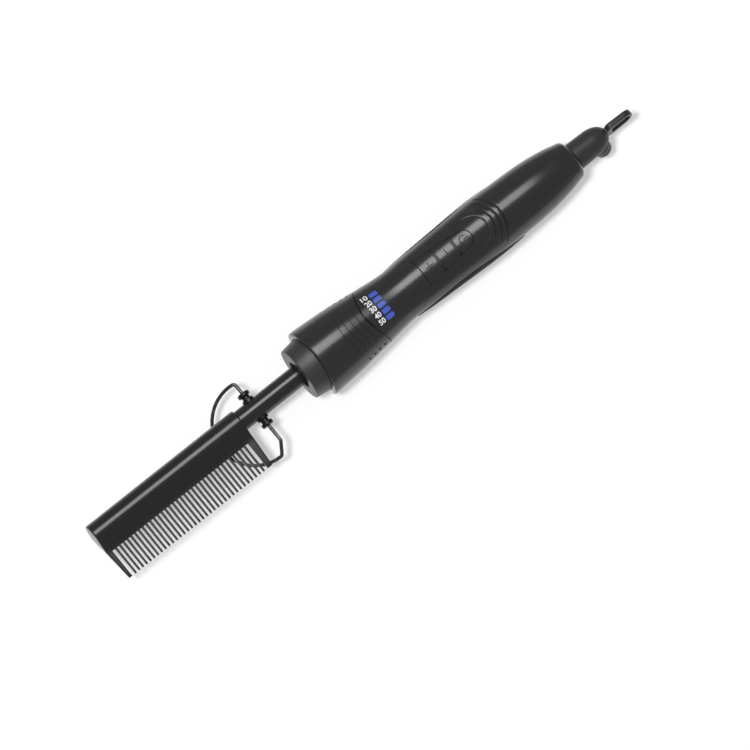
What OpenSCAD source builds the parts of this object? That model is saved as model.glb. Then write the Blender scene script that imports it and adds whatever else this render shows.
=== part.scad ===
// Electric hot comb. A heated comb head sits on a steel neck, in a handle of two shells
// with three buttons, a folding wire stand and a tail that swivels.
// +X runs to the tail, the teeth point along -Y and the buttons face +Z, in millimetres.
// The origin is under the middle of the comb, on the surface that it lies on.

/* [Comb head] */
// Length of the comb head along the spine
head_length = 84.9; // [60:0.1:110]
// Radius of the round spine
spine_r = 6.1; // [5.8:0.1:7]
// Distance from the spine's axis to the roots of the teeth
blade_reach = 8.8; // [8:0.1:12]
// Length of the teeth
tooth_length = 15.6; // [8:0.1:22]
// Distance from one tooth to the next
tooth_pitch = 2.185; // [1.6:0.005:3.5]
// Width of a tooth at its root
tooth_root_w = 0.95; // [0.6:0.05:1.2]
// Width of a tooth at its end
tooth_end_w = 0.85; // [0.4:0.05:0.9]
// Thickness of the blade at the roots of the teeth
blade_t = 2.8; // [2:0.1:4]
// Thickness of the teeth at their ends
tooth_end_t = 1.1; // [0.6:0.1:1.8]
// Width of the guard tooth at the tip
tip_guard_w = 2.7; // [1.5:0.1:5]
// Width of the guard tooth beside the neck
rear_guard_w = 3.7; // [2:0.1:6]
// How far the outer edge of a guard tooth slopes in at its end
guard_slope = 1; // [0.2:0.1:1.4]
// Bevel at the two ends of the spine
spine_bevel = 0.7; // [0.2:0.1:1.2]

/* [Heater] */
// Radius of the heater's bore in the spine
heater_bore_r = 4.4; // [4.1:0.1:4.6]
// Thickness of the wall left at the tip
tip_wall = 5; // [3:0.5:10]
// Length of the heater
heater_length = 58; // [40:1:60]
// Thickness of the heating plates
ceramic_t = 1.5; // [1:0.1:2.2]
// Width of the heating plates
ceramic_w = 6; // [4:0.1:6.6]
// Thickness of an electrode
electrode_t = 0.4; // [0.2:0.05:0.6]
// Thickness of an insulating sheet
mica_t = 0.25; // [0.15:0.05:0.4]
// Radius of the insulated heater leads
lead_r = 0.65; // [0.5:0.05:0.8]
// Distance of the heater leads from the middle
lead_y = 1.6; // [1.3:0.1:2]

/* [Neck] */
// Outer radius of the neck tube
neck_r = 5.1; // [5:0.05:5.3]
// Wall of the neck tube
neck_wall = 0.5; // [0.4:0.05:0.7]
// Length of neck between the comb head and the handle
neck_length = 34.4; // [34:0.1:50]
// Depth of the neck tube in the comb head
neck_seat = 11; // [8:0.5:14]
// Length of neck tube inside the handle
neck_tail = 33; // [30:0.5:36]

/* [Stand] */
// Distance from the stand's hinge to the front of the handle
hinge_ahead = 25.4; // [25.2:0.1:28]
// Radius of the stand's wire
wire_r = 0.85; // [0.6:0.05:1.1]
// Reach of the stand from its hinge
stand_reach = 23.5; // [22.6:0.1:24]
// Radius of the stand's round end
stand_arc_r = 19.6; // [19.2:0.1:20.2]
// Sideways shift of the round end towards the teeth
stand_shift = 4.1; // [3.4:0.1:4.4]
// Distance ahead of the hinge where the slanting leg starts
slant_ahead = 5; // [4.6:0.1:6]
// Lean of the slanting leg
slant_angle = 55; // [48:1:60]
// Inner bend radius of the wire's corners, to its middle
wire_bend_r = 1.7; // [1.5:0.1:2.2]
// Radius of the barrel of a stud
stud_r = 1.95; // [1.8:0.05:2.4]
// Radius of the flanges of a stud
stud_flange_r = 3; // [2.6:0.05:3.3]
// Thickness of the flange against the tube
stud_base_t = 0.9; // [0.6:0.1:1.2]
// Length of the barrel between the flanges
stud_barrel = 1.5; // [1.2:0.1:2]
// Thickness of the outer flange
stud_head_t = 2; // [1.5:0.1:2.4]
// Depth of the wire in a stud
pin_depth = 3.3; // [2.5:0.1:3.6]

/* [Nose] */
// Radius of the nose ring's front face
nose_front_r = 13; // [12:0.1:13.6]
// Radius of the nose ring where it meets the collar
nose_back_r = 14.3; // [13.8:0.1:15]
// Length of the nose ring that shows
nose_length = 8.5; // [6:0.1:9]
// Radius of the hole round the neck
nose_hole_r = 7; // [5.6:0.1:7.4]
// Depth of the hole ahead of the heat bush
nose_hole_depth = 4; // [2:0.1:5]
// Radius of the heat bush
bush_r = 9; // [8:0.1:9.6]
// Depth to which the nose ring and the bush reach into the handle
nose_depth = 16; // [13:0.5:18]

/* [Handle] */
// Radius of the handle at its front shoulder
front_r = 17.3; // [16.5:0.1:19]
// Distance of the front shoulder from the nose
front_x = 10.2; // [9.4:0.1:12]
// Radius at the waist
waist_r = 12.75; // [12.5:0.05:13.2]
// Distance of the waist from the nose
waist_x = 57.5; // [54:0.5:60]
// Radius behind the buttons
rear_r = 14.4; // [14:0.1:15.5]
// Distance of the widest place behind the buttons
rear_x = 106; // [102:0.5:110]
// Radius where the tail end starts to round off
tail_r = 9.9; // [9.6:0.1:10.5]
// Length of the handle up to there
tail_x = 157; // [156:0.5:159]
// Radius of the handle's end face
end_r = 6.9; // [6.7:0.1:7.5]
// Length of the rounding at the tail
end_round = 2.8; // [2:0.1:4]
// Thickness of the shells
shell_wall = 2; // [1.6:0.1:2.2]

/* [Collar] */
// Radius of the collar's bore, over the neck of the shells
collar_bore_r = 12.4; // [12:0.1:12.4]
// Place of the collar's rear edge at the sides
collar_x = 41.9; // [40:0.1:43]
// How far the collar's rear edge bows towards the nose
collar_bow = 5.4; // [3:0.1:6]
// Width of the seam behind the collar
seam = 0.3; // [0.2:0.05:0.5]
// Number of grooves round the collar
groove_count = 4; // [0:1:4]
// Distance from one groove to the next
groove_pitch = 3.2; // [2.6:0.1:3.3]
// Width of a groove
groove_w = 0.5; // [0.3:0.05:0.8]
// Depth of a groove
groove_depth = 0.35; // [0.2:0.05:0.6]

/* [Grips] */
// Length of a side grip
grip_length = 61; // [50:1:64]
// Height of a side grip
grip_height = 10.4; // [7:0.1:12]
// Place of the middle of the grips
grip_x = 89.6; // [88:0.1:92]
// Depth of a grip in the shell
grip_t = 0.9; // [0.6:0.05:1]
// How far a grip stands proud
grip_proud = 0.15; // [0.05:0.05:0.3]

/* [Buttons] */
// Place of the front edge of the buttons
buttons_x = 70.6; // [69:0.1:72]
// Length of the row of buttons
buttons_length = 28.4; // [27:0.1:29]
// Half width of the row at its front
buttons_front_w = 6.7; // [6:0.05:6.8]
// Half width of the row at its round rear end
buttons_rear_w = 4.2; // [3.6:0.05:4.6]
// Groove between two buttons
button_groove = 1; // [0.6:0.05:1.4]
// Gap round the buttons
button_gap = 0.2; // [0.15:0.05:0.3]
// How far the buttons stand proud
button_proud = 0.3; // [0.1:0.05:0.6]
// Travel of a button
button_travel = 0.5; // [0.3:0.05:0.7]
// Underside of the buttons above the handle's axis
button_under = 7.5; // [7.2:0.05:7.6]
// Thickness of the lip under a button
button_lip_t = 0.8; // [0.6:0.05:0.9]
// Width of the lip under a button
button_lip_w = 0.6; // [0.4:0.05:0.7]

/* [Lights] */
// Place of the middle of the light windows
lights_x = 47.6; // [47:0.1:48.4]
// Length of a light window
light_length = 4.6; // [3.5:0.1:4.8]
// Width of a light window
light_w = 2.6; // [2:0.1:2.8]
// Angle from one light window to the next
light_pitch = 13.6; // [13.2:0.1:14.5]
// Number of light windows
light_count = 5; // [3:2:5]
// Gap round the light guide
light_gap = 0.1; // [0.05:0.05:0.2]

/* [Board] */
// Place of the front edge of the board
board_x = 42; // [41.5:0.1:43]
// Length of the board
board_length = 66; // [64:0.5:68]
// Width of the board
board_w = 15; // [14.6:0.1:16]
// Thickness of the board
board_t = 1.6; // [1.2:0.1:1.8]
// Height of the board's underside above the handle's axis
board_z = 1.65; // [1.65:0.05:1.75]
// Side of a push switch
switch_w = 6; // [4.5:0.1:6.2]
// Radius of a push switch's plunger
plunger_r = 1.7; // [1.2:0.1:2]
// Length of a push switch's plunger
plunger_h = 0.6; // [0.4:0.05:0.8]

/* [Tail] */
// Radius of the swivel where it meets the handle
swivel_r = 6.7; // [6.4:0.05:6.8]
// Radius of the swivel before its dome
swivel_neck_r = 6.45; // [6.2:0.05:6.6]
// Length of the swivel before its dome
swivel_length = 10; // [9:0.1:12]
// Length of the dome
dome_length = 9.2; // [8:0.1:10]
// Radius of the swivel's shaft in the handle
shaft_r = 4; // [3.8:0.05:4.2]
// Radius of the shaft's collar behind the end wall
shaft_collar_r = 5.4; // [5:0.1:6]
// Radius of the shaft under the slip rings
ring_seat_r = 3; // [2.8:0.05:3.2]
// Outer radius of the slip rings
ring_r = 3.8; // [3.6:0.05:3.9]
// Width of a slip ring
ring_w = 2.5; // [2:0.1:2.8]
// Radius of the cord outlet's collar
outlet_r = 4.4; // [4.2:0.1:4.8]
// Reach of the cord outlet from the swivel's axis
outlet_reach = 9; // [9:0.1:10.4]
// Lean of the cord outlet towards the tail
outlet_lean = 17; // [8:1:20]
// Turn of the cord outlet round the axis, from straight down
outlet_turn = 33; // [25:1:50]
// Radius of the gland's bore for the cord
cord_r = 2.6; // [2:0.1:2.8]
// Wall of the gland
gland_wall = 0.7; // [0.5:0.05:0.9]
// Length of the gland's bore
gland_length = 5; // [4:0.1:5.5]

/* [Hanging loop] */
// Length of the loop past the dome
loop_length = 14.2; // [11:0.1:18]
// Width of the loop at its root
loop_root_w = 11; // [10.4:0.1:12]
// Width of the loop at its round end
loop_end_w = 9; // [8.6:0.1:10]
// Thickness of the loop
loop_t = 2.8; // [1.6:0.1:3.2]
// Width of the slot in the loop
slot_w = 6; // [5.6:0.1:6.4]
// Turn of the loop round the axis
loop_turn = 84; // [60:1:90]

/* [Fits] */
// Gap between parts that are pressed or glued together
press_gap = 0.03; // [0.02:0.01:0.05]
// Radial running clearance of the stand and the swivel
run_gap = 0.07; // [0.05:0.01:0.09]
// Gap between faces that pass each other
face_gap = 0.3; // [0.25:0.05:0.4]

/* [Hidden] */
$fn = 64;
fine = 300;

// Places along the axis, from the front face of the nose ring
head_end = -neck_length;
tip_x = head_end - head_length;
end_x = tail_x + end_round;
swivel_x = end_x + face_gap;
dome_x = swivel_x + swivel_length;
dome_end = dome_x + dome_length;
loop_end = dome_end + loop_length;
hinge_x = -hinge_ahead;
tooth_reach = blade_reach + tooth_length;

// The origin under the middle of the whole comb
stand_side = stand_shift + stand_arc_r + wire_r;
mid_x = (tip_x + loop_end) / 2;
mid_y = (front_r - max(tooth_reach, stand_side)) / 2;

// Comb teeth, spread evenly between the guards
tooth_span = head_length - tip_guard_w - rear_guard_w;
tooth_count = floor(tooth_span / tooth_pitch);
first_tooth = tip_x + tip_guard_w + (tooth_span - (tooth_count - 1) * tooth_pitch) / 2;
blade_lean = asin(spine_r / norm([blade_reach, blade_t / 2])) - atan2(blade_t / 2, blade_reach);
spine_steps = 48;

// Heater stack, from the middle outwards
electrode_z = ceramic_t / 2 + electrode_t / 2;
mica_z = ceramic_t / 2 + electrode_t + mica_t / 2;
block_z = ceramic_t / 2 + electrode_t + mica_t;
heater_end = head_end - neck_seat - 1;
heater_x = heater_end - heater_length;
ceramic_count = 3;
ceramic_space = 1;
fuse_r = 1.3;
fuse_length = 8;
sensor_r = 1;
sensor_z = 2.45;
sensor_lead_r = 0.35;

// Studs, measured outwards from the tube's axis
stud_base = neck_r + stud_base_t;
stud_waist = stud_base + stud_barrel;
stud_end = stud_waist + stud_head_t;
stud_sink = 1;
shank_r = 1.2;
pin_start = stud_end - pin_depth;

// The stand's wire: its round end and its corners, in the plane of the wire
arc_ahead = stand_reach - stand_arc_r;
arc_in = asin((arc_ahead - wire_bend_r) / (stand_arc_r - wire_bend_r));
arc_out = asin((slant_ahead - arc_ahead) / stand_arc_r);
leg_out = (stand_arc_r - wire_bend_r) * cos(arc_in) - stand_shift - stud_end;
wire_start = 0.4;
slant_heading = 180 + slant_angle;
// Where the round end stops, and where the bend after it ends
arc_stop = arc_ahead + stand_arc_r * sin(arc_out);
slant_start = arc_stop - wire_bend_r * (sin(arc_out) - sin(slant_heading));
slant_length = (slant_start - wire_bend_r * (1 + sin(slant_heading))) / cos(slant_angle);
stand_cross = arc_ahead + sqrt(pow(stand_arc_r, 2) - pow(stand_shift, 2));
stand_fold = asin((spine_r + wire_r + face_gap) / stand_cross);

// Handle outline: round places joined by a smooth curve
function between(a, b, k) = a + (b - a) * k;
front_knot = [front_x, front_r];
waist_knot = [waist_x, waist_r];
rear_knot = [rear_x, rear_r];
tail_knot = [tail_x, tail_r];
function knot(a, b, along, across) = [between(a.x, b.x, along), between(a.y, b.y, across)];
knots = [
    front_knot, knot(front_knot, waist_knot, 0.31, 0.22), knot(front_knot, waist_knot, 0.63, 0.59),
    waist_knot, knot(waist_knot, rear_knot, 0.22, 0.3), knot(waist_knot, rear_knot, 0.55, 0.64),
    rear_knot, knot(rear_knot, tail_knot, 0.31, 0.1), knot(rear_knot, tail_knot, 0.63, 0.27),
    knot(rear_knot, tail_knot, 0.86, 0.62), tail_knot];
last_knot = len(knots) - 1;
function knot_slope(i) = let(a = knots[max(i - 1, 0)], b = knots[min(i + 1, last_knot)])
    (b.y - a.y) / (b.x - a.x);
function segment(x, i = 0) = i >= last_knot - 1 || x <= knots[i + 1].x ? i : segment(x, i + 1);
// Radius of the handle at a place along it, by a cubic between two knots
function handle_r(x) = let(
    i = segment(x),
    a = knots[i],
    b = knots[i + 1],
    w = b.x - a.x,
    t = (x - a.x) / w,
    s = 1 - t)
    a.y * s * s * (1 + 2 * t) + b.y * t * t * (1 + 2 * s)
    + w * s * t * (knot_slope(i) * s - knot_slope(i + 1) * t);
grip_blunt = 0.4;
function handle_line(from, to, grow, steps) =
    [for (i = [0:steps]) let(x = between(from, to, i / steps)) [handle_r(x) + grow, x]];
tail_round = [for (a = [15:15:90])
    [between(end_r, tail_r, cos(a)), between(tail_x, end_x, sin(a))]];
outer_steps = 40;
inner_steps = 16;

// Fits under the collar and at the two ends of the cavity
neck_out_r = collar_bore_r - press_gap;
neck_in_r = neck_out_r - shell_wall + 0.2;
nose_flange = 0.5;
shell_front = nose_length + nose_flange;
cavity_front = collar_x + seam + 1.8;
cavity_end = end_x - 6;
bow_half = handle_r(collar_x - collar_bow);
bow_r = (pow(bow_half, 2) + pow(collar_bow, 2)) / (2 * collar_bow);
groove_first = 3;

// Button plan, from the front edge to the round end
row_end = buttons_x + buttons_length;
cap_length = (buttons_length - 2 * button_groove) / 3;
function cap_front(i) = buttons_x + i * (cap_length + button_groove);
board_top = board_z + board_t;
plunger_top = button_under - button_travel - 0.1;
switch_h = plunger_top - plunger_h - board_top;

// Light guide under the windows
guide_t = 1.2;
guide_from = max(cavity_front + 1 + face_gap, lights_x - light_length / 2 - 1);
guide_to = lights_x + light_length / 2 + 1;
finger_foot = handle_r(guide_to) - shell_wall - face_gap - 1;
light_side = light_w / 2 / handle_r(lights_x);
led_pitch = 3;

// Parts on and under the board
post_r = 2;
post_y = 5.3;
post_xs = [board_x + 12, board_x + board_length - 4.5];
board_screw_r = 0.8;
board_head_r = 1.6;
board_head_h = 1;
board_screw_depth = 5.5;
led_size = [2, 1.2, 0.8];
chip_from = 17;
chip_size = [7, 7, 1.2];
board_fuse_from = 14.5;
board_fuse_size = [8, 4, 4];
capacitor_from = 24;
capacitor_size = [13, 6, 9];
triac_setback = 22;
triac_from = board_length - triac_setback;
triac_size = [10, 10, 4.4];

// Clamp that holds the neck tube
clamp_x = 20;
clamp_w = 8;
clamp_t = 1.4;
clamp_half = 9.4;
clamp_screw_y = 7.9;
clamp_screw_r = 0.9;
clamp_head_r = 1.4;
clamp_head_h = 1.1;
saddle_depth = 6;

// Screws that join the shells
boss_r = 2.9;
screw_r = 1.2;
screw_head_r = 2.3;
screw_head_h = 1.6;
screw_up = 6;
screw_seat = 5;

// Swivel bearing and its contacts
collar_back = cavity_end - face_gap;
collar_w = 1.5;
ring_back = collar_back - collar_w - 1;
ring_space = 4.5;
shaft_front = ring_back - ring_space - ring_w - 1;
channel_r = 1.6;
outlet_channel_r = 2;
outlet_back = 1.8;
outlet_bevel = 1;
block_x = shaft_front - 0.5;
screw_behind_board = 8;
screw_ahead_block = 9.5;
screw_xs = [board_x + board_length + screw_behind_board, block_x - screw_ahead_block];
block_w = ring_back - face_gap - block_x;
block_top = -ring_r - 1.4;
block_h = 3;
block_half = 3.8;
block_foot = 2;
block_foot_half = 3;
leaf_half_w = 0.8;
leaf_from = -3;
leaf_to = 1.5;
leaf_t = 0.4;
leaf_gap = 0.1;
leaf_top = -ring_r - leaf_gap - block_top;
supply_r = 0.75;
supply_y = 3.9;
supply_bend = 3;
supply_under = 2;
loop_root = 4.5;
loop_root_half = 2.6;
slot_from = 2.6;

module place() translate([-mid_x, -mid_y, front_r]) children();

// A turned body about the X axis, from [radius, x] points
module turned(points) rotate([0, 90, 0]) rotate_extrude() polygon(points);

module rod(from, to, r) translate([from, 0, 0]) rotate([0, 90, 0]) cylinder(h = to - from, r = r);

// A flat outline in Y and Z, extruded along X
module along_x(from, length) translate([from, 0, 0]) rotate([90, 0, 90])
    linear_extrude(length) children();

// A box from its lowest corner to its highest corner
module slab(low, high) translate(low) cube(high - low);

// Stops along one step of a bent wire, as [x, y, heading]: a straight length, then a bend.
// A step is [length, bend radius, turn, parts of the bend]
function bend_stops(s, step) = let(
    a = s[2],
    x = s[0] + step[0] * cos(a),
    y = s[1] + step[0] * sin(a))
    [for (i = [0:step[3]]) let(b = a + step[2] * i / max(step[3], 1))
        [x + step[1] * (sin(b) - sin(a)), y + step[1] * (cos(a) - cos(b)), b]];
function last(list) = list[len(list) - 1];
// All stops along a list of steps, from a starting stop
function route(steps, s, i = 0) = i == len(steps) ? []
    : let(stops = bend_stops(s, steps[i])) concat(stops, route(steps, last(stops), i + 1));

// A round wire along stops in one plane
module wire(steps, start, r) {
    stops = concat([start], route(steps, start));
    sides = 10;
    rings = len(stops);
    across = r / cos(180 / sides);
    points = [for (s = stops, k = [0:sides - 1]) let(f = (k + 0.5) * 360 / sides)
        [s[0] - across * cos(f) * sin(s[2]), s[1] + across * cos(f) * cos(s[2]), across * sin(f)]];
    faces = concat(
        [[for (k = [0:sides - 1]) k]],
        [for (i = [0:rings - 2], k = [0:sides - 1]) let(n = (k + 1) % sides)
            each [[i * sides + k, (i + 1) * sides + k, i * sides + n],
                  [i * sides + n, (i + 1) * sides + k, (i + 1) * sides + n]]],
        [[for (k = [sides - 1:-1:0]) (rings - 1) * sides + k]]);
    polyhedron(points, faces);
}

// ---- Comb head and heater ----

module head_section() polygon(concat(
    [for (i = [0:spine_steps]) let(a = between(-90 - blade_lean, 90 + blade_lean, i / spine_steps))
        [spine_r * cos(a), spine_r * sin(a)]],
    [[-blade_reach, blade_t / 2], [-tooth_reach, tooth_end_t / 2],
     [-tooth_reach, -tooth_end_t / 2], [-blade_reach, -blade_t / 2]]));

function tooth(x) = [
    [x + tooth_root_w / 2, -blade_reach], [x + tooth_end_w / 2, -tooth_reach - 1],
    [x - tooth_end_w / 2, -tooth_reach - 1], [x - tooth_root_w / 2, -blade_reach]];

module head_outline() polygon(concat(
    [[tip_x, spine_r - spine_bevel], [tip_x + spine_bevel, spine_r], [tip_x + spine_bevel, spine_r + 1],
     [head_end - spine_bevel, spine_r + 1], [head_end - spine_bevel, spine_r],
     [head_end, spine_r - spine_bevel],
     [head_end, -blade_reach], [head_end - guard_slope, -tooth_reach - 1],
     [head_end - rear_guard_w, -tooth_reach - 1], [head_end - rear_guard_w, -blade_reach]],
    [for (i = [tooth_count - 1:-1:0]) each tooth(first_tooth + i * tooth_pitch)],
    [[tip_x + tip_guard_w, -blade_reach], [tip_x + tip_guard_w, -tooth_reach - 1],
     [tip_x + guard_slope, -tooth_reach - 1], [tip_x, -blade_reach]]));

module comb_head() color("#2b2b2d") place() difference() {
    intersection() {
        along_x(tip_x - 1, head_length + 2) head_section();
        translate([0, 0, -spine_r - 1]) linear_extrude(2 * spine_r + 2) head_outline();
    }
    rod(tip_x + tip_wall, head_end, heater_bore_r);
    rod(head_end - neck_seat, head_end + 1, neck_r + press_gap);
}

module neck_tube() color("#333336") place() difference() {
    rod(head_end - neck_seat, neck_tail, neck_r);
    rod(head_end - neck_seat - 1, neck_tail + 1, neck_r - neck_wall);
    for (side = [-1, 1]) translate([hinge_x, 0, 0]) rotate([90 * side, 0, 0])
        cylinder(h = neck_r + 1, r = shank_r + press_gap);
}

module heater_blocks() color("#b9bbbe") place() for (side = [0, 1]) mirror([0, 0, side])
    intersection() {
        rod(heater_x, heater_end, heater_bore_r - press_gap);
        slab([heater_x, -heater_bore_r, block_z], [heater_end, heater_bore_r, heater_bore_r]);
    }

module mica_sheets() color("#c9b98c") place() for (side = [-1, 1])
    slab([heater_x, -ceramic_w / 2 - 0.2, side * mica_z - mica_t / 2],
         [heater_end, ceramic_w / 2 + 0.2, side * mica_z + mica_t / 2]);

module electrodes() color("#c98f4e") place() for (side = [-1, 1])
    slab([heater_x + 1, -ceramic_w / 2, side * electrode_z - electrode_t / 2],
         [heater_end, ceramic_w / 2, side * electrode_z + electrode_t / 2]);

module heating_ceramics() color("#8f8a80") place() {
    pitch = (heater_length - 2) / ceramic_count;
    for (i = [0:ceramic_count - 1]) slab(
        [heater_x + 1 + i * pitch + ceramic_space / 2, -ceramic_w / 2, -ceramic_t / 2],
        [heater_x + 1 + (i + 1) * pitch - ceramic_space / 2, ceramic_w / 2, ceramic_t / 2]);
}

module thermal_fuse() color("#d8d4c8") place() translate([0, lead_y, electrode_z])
    rod(heater_end, heater_end + fuse_length, fuse_r);

module temperature_sensor() color("#5a4a3a") place() translate([0, -lead_y, sensor_z])
    rod(heater_end, heater_end + 2.5, sensor_r);

// One lead runs straight from the fuse; the other rises to the board behind the tube
module heater_leads() color("#b23a2e") place() {
    lead_end = board_x + 5;
    translate([0, lead_y, electrode_z]) rod(heater_end + fuse_length, lead_end, lead_r);
    rise = 2 * electrode_z;
    bend = 3;
    tilt = 20;
    slope = (rise - 2 * bend * (1 - cos(tilt))) / sin(tilt);
    run = neck_tail - 1 - heater_end;
    rest = lead_end - neck_tail + 1 - slope * cos(tilt) - 2 * bend * sin(tilt);
    steps = [[run, bend, tilt, 3], [slope, -bend, -tilt, 3], [rest, 0, 0, 0]];
    translate([heater_end, -lead_y, -electrode_z]) rotate([90, 0, 0]) wire(steps, [0, 0, 0], lead_r);
}

module sensor_leads() color("#d8c84a") place() for (side = [-1, 1])
    translate([0, -lead_y + side * sensor_r / 2, sensor_z])
        rod(heater_end + 2.5, board_x, sensor_lead_r);

// ---- Stand ----

module stud() {
    difference() {
        union() {
            translate([0, 0, neck_r - stud_sink]) cylinder(h = stud_base_t + stud_sink, r = stud_flange_r);
            translate([0, 0, stud_base]) cylinder(h = stud_barrel, r = stud_r);
            translate([0, 0, stud_waist]) cylinder(h = stud_head_t, r = stud_flange_r);
        }
        rotate([0, 90, 0]) cylinder(h = 4 * stud_flange_r, r = neck_r + press_gap, center = true);
        translate([0, 0, pin_start - 0.2]) cylinder(h = stud_end, r = wire_r + run_gap);
    }
    translate([0, 0, neck_r - neck_wall - 0.2]) cylinder(h = neck_wall + 0.5, r = shank_r);
}

module stand_studs() color("#1f1f21") place() for (side = [-1, 1])
    translate([hinge_x, 0, 0]) rotate([90 * side, 0, 0]) stud();

module stand_wire() color("#4a4a4d") place() translate([hinge_x, 0, 0])
    rotate([0, -stand_fold, 0]) rotate(180) {
        start = [0, -stud_end - wire_start, -90];
        steps = [
            [leg_out - wire_start, wire_bend_r, 90 - arc_in, 5],
            [0, stand_arc_r, 180 + arc_in - arc_out, 20],
            [0, wire_bend_r, slant_angle + arc_out, 4],
            [slant_length, wire_bend_r, 90 - slant_angle, 3]];
        stop = last(route(steps, start));
        wire(concat(steps, [[stop[1] - stud_end - wire_start, 0, 0, 0]]), start, wire_r);
        for (side = [-1, 1]) translate([0, side * pin_start, 0]) rotate([-90 * side, 0, 0])
            cylinder(h = pin_depth + wire_start + 0.5, r = wire_r);
    }

// ---- Nose and collar ----

module nose_ring() color("#55565a") place() turned([
    [nose_hole_r, 0], [nose_front_r - 0.4, 0], [nose_front_r, 0.4], [nose_back_r, nose_length],
    [neck_out_r, nose_length], [neck_out_r, shell_front], [neck_in_r - press_gap, shell_front],
    [neck_in_r - press_gap, nose_depth], [bush_r + press_gap, nose_depth],
    [bush_r + press_gap, nose_hole_depth], [nose_hole_r, nose_hole_depth]]);

module heat_bush() color("#e6e1d4") place() turned([
    [neck_r + press_gap, nose_hole_depth], [bush_r, nose_hole_depth],
    [bush_r, nose_depth], [neck_r + press_gap, nose_depth]]);

// Everything ahead of a bowed line across the handle
module bow_zone(x, r = bow_r) translate([x - bow_r, 0, 0]) rotate([90, 0, 0])
    cylinder(h = 4 * front_r, r = r, center = true);

module front_collar() color("#2e2f31") place() difference() {
    intersection() {
        turned(concat(
            [[collar_bore_r, nose_length], [nose_back_r, nose_length], [front_r - 0.3, front_x - 1]],
            handle_line(front_x, collar_x, 0, 12), [[collar_bore_r, collar_x]]));
        bow_zone(collar_x);
    }
    for (i = [0:1:groove_count - 1]) intersection() {
        difference() {
            bow_zone(collar_x - groove_first - i * groove_pitch);
            bow_zone(collar_x - groove_first - i * groove_pitch, bow_r - groove_w);
        }
        turned(concat([[front_r + 1, front_x + 8]],
            handle_line(front_x + 8, collar_x, -groove_depth, 9), [[front_r + 1, collar_x]]));
    }
}

// ---- Handle shells ----

module handle_solid(grow = 0) turned(concat(
    [[0, front_x]], handle_line(front_x, tail_x, grow, outer_steps),
    [for (p = tail_round) p + [grow, 0]], [[0, end_x]]));

module handle_cavity() turned(concat(
    [[0, shell_front - 1], [neck_in_r, shell_front - 1], [neck_in_r, cavity_front]],
    handle_line(cavity_front + 1, cavity_end, -shell_wall, inner_steps), [[0, cavity_end]]));

// The place of a side grip, a long oval with blunt ends
module grip_zone(side, extra) {
    half = grip_length / 2 + extra;
    rise = grip_height / 2 + extra;
    r = (pow(half + grip_blunt, 2) + pow(rise, 2)) / (2 * rise);
    intersection() {
        translate([grip_x, 0, rise - r]) rotate([-90 * side, 0, 0])
            cylinder(h = 2 * rear_r, r = r, $fn = fine);
        translate([grip_x, 0, r - rise]) rotate([-90 * side, 0, 0])
            cylinder(h = 2 * rear_r, r = r, $fn = fine);
        slab([grip_x - half, side > 0 ? 1 : -2 * rear_r + 1, -rise],
             [grip_x + half, side > 0 ? 2 * rear_r - 1 : -1, rise]);
    }
}

module grip_solid(grow, margin) {
    from = grip_x - grip_length / 2 - margin;
    to = grip_x + grip_length / 2 + margin;
    turned(concat([[0, from]], handle_line(from, to, grow, 16), [[0, to]]));
}

module side_grip(side, out, depth, extra) difference() {
    intersection() {
        grip_solid(out, 2);
        grip_zone(side, extra);
    }
    grip_solid(-depth, 3);
}

module left_grip() color("#19191b") place() side_grip(1, grip_proud, grip_t, 0);
module right_grip() color("#19191b") place() side_grip(-1, grip_proud, grip_t, 0);

module shell_blank() difference() {
    union() {
        difference() {
            handle_solid();
            bow_zone(collar_x + seam);
        }
        rod(shell_front, cavity_front + 2, neck_out_r);
    }
    handle_cavity();
    rod(cavity_end - 1, end_x + 1, shaft_r + run_gap);
    for (side = [-1, 1]) side_grip(side, 1, grip_t + press_gap, press_gap);
}

// Plan of the button row, grown by a gap
module row_plan(grow) {
    steps = 12;
    polygon(concat(
        [[buttons_x - grow, -buttons_front_w - grow]],
        [for (i = [0:steps]) let(a = between(-90, 90, i / steps), r = buttons_rear_w + grow)
            [row_end - buttons_rear_w + r * cos(a), r * sin(a)]],
        [[buttons_x - grow, buttons_front_w + grow]]));
}

// The windows' fingers, with radial sides, grown by a gap
module light_slots(grow) for (i = [0:light_count - 1])
    rotate([(i - (light_count - 1) / 2) * light_pitch, 0, 0])
        along_x(lights_x - light_length / 2 - grow, light_length + 2 * grow) polygon([
            [-light_side * finger_foot - grow, finger_foot], [light_side * finger_foot + grow, finger_foot],
            [light_side * front_r + grow, front_r], [-light_side * front_r - grow, front_r]]);

module upper_shell() color("#2e2f31") place() difference() {
    union() {
        intersection() {
            shell_blank();
            slab([0, -front_r - 1, 0], [end_x + 1, front_r + 1, front_r + 1]);
        }
        for (x = screw_xs) translate([x, 0, 0])
            cylinder(h = handle_r(x) - shell_wall / 2, r = boss_r);
    }
    translate([0, 0, button_under - 2]) linear_extrude(front_r) row_plan(button_gap);
    light_slots(light_gap);
    for (x = screw_xs) translate([x, 0, -1]) cylinder(h = screw_up + 2, r = screw_r + press_gap);
}

// Inner parts of the lower shell, kept inside its wall
module shell_ribs() {
    intersection() {
        slab([clamp_x, -clamp_half, -front_r], [clamp_x + clamp_w, clamp_half, 0]);
        rod(shell_front, cavity_front, neck_out_r - 0.5);
    }
    intersection() {
        union() {
            for (x = post_xs, y = [-post_y, post_y]) translate([x, y, -front_r])
                cylinder(h = front_r + board_z, r = post_r);
            for (x = screw_xs) translate([x, 0, -front_r]) cylinder(h = front_r, r = boss_r);
            for (x = [block_x + 1, block_x + block_w - 1 - block_foot])
                slab([x, -block_foot_half, -front_r], [x + block_foot, block_foot_half, block_top - block_h]);
        }
        handle_solid(-0.8);
    }
}

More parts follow.
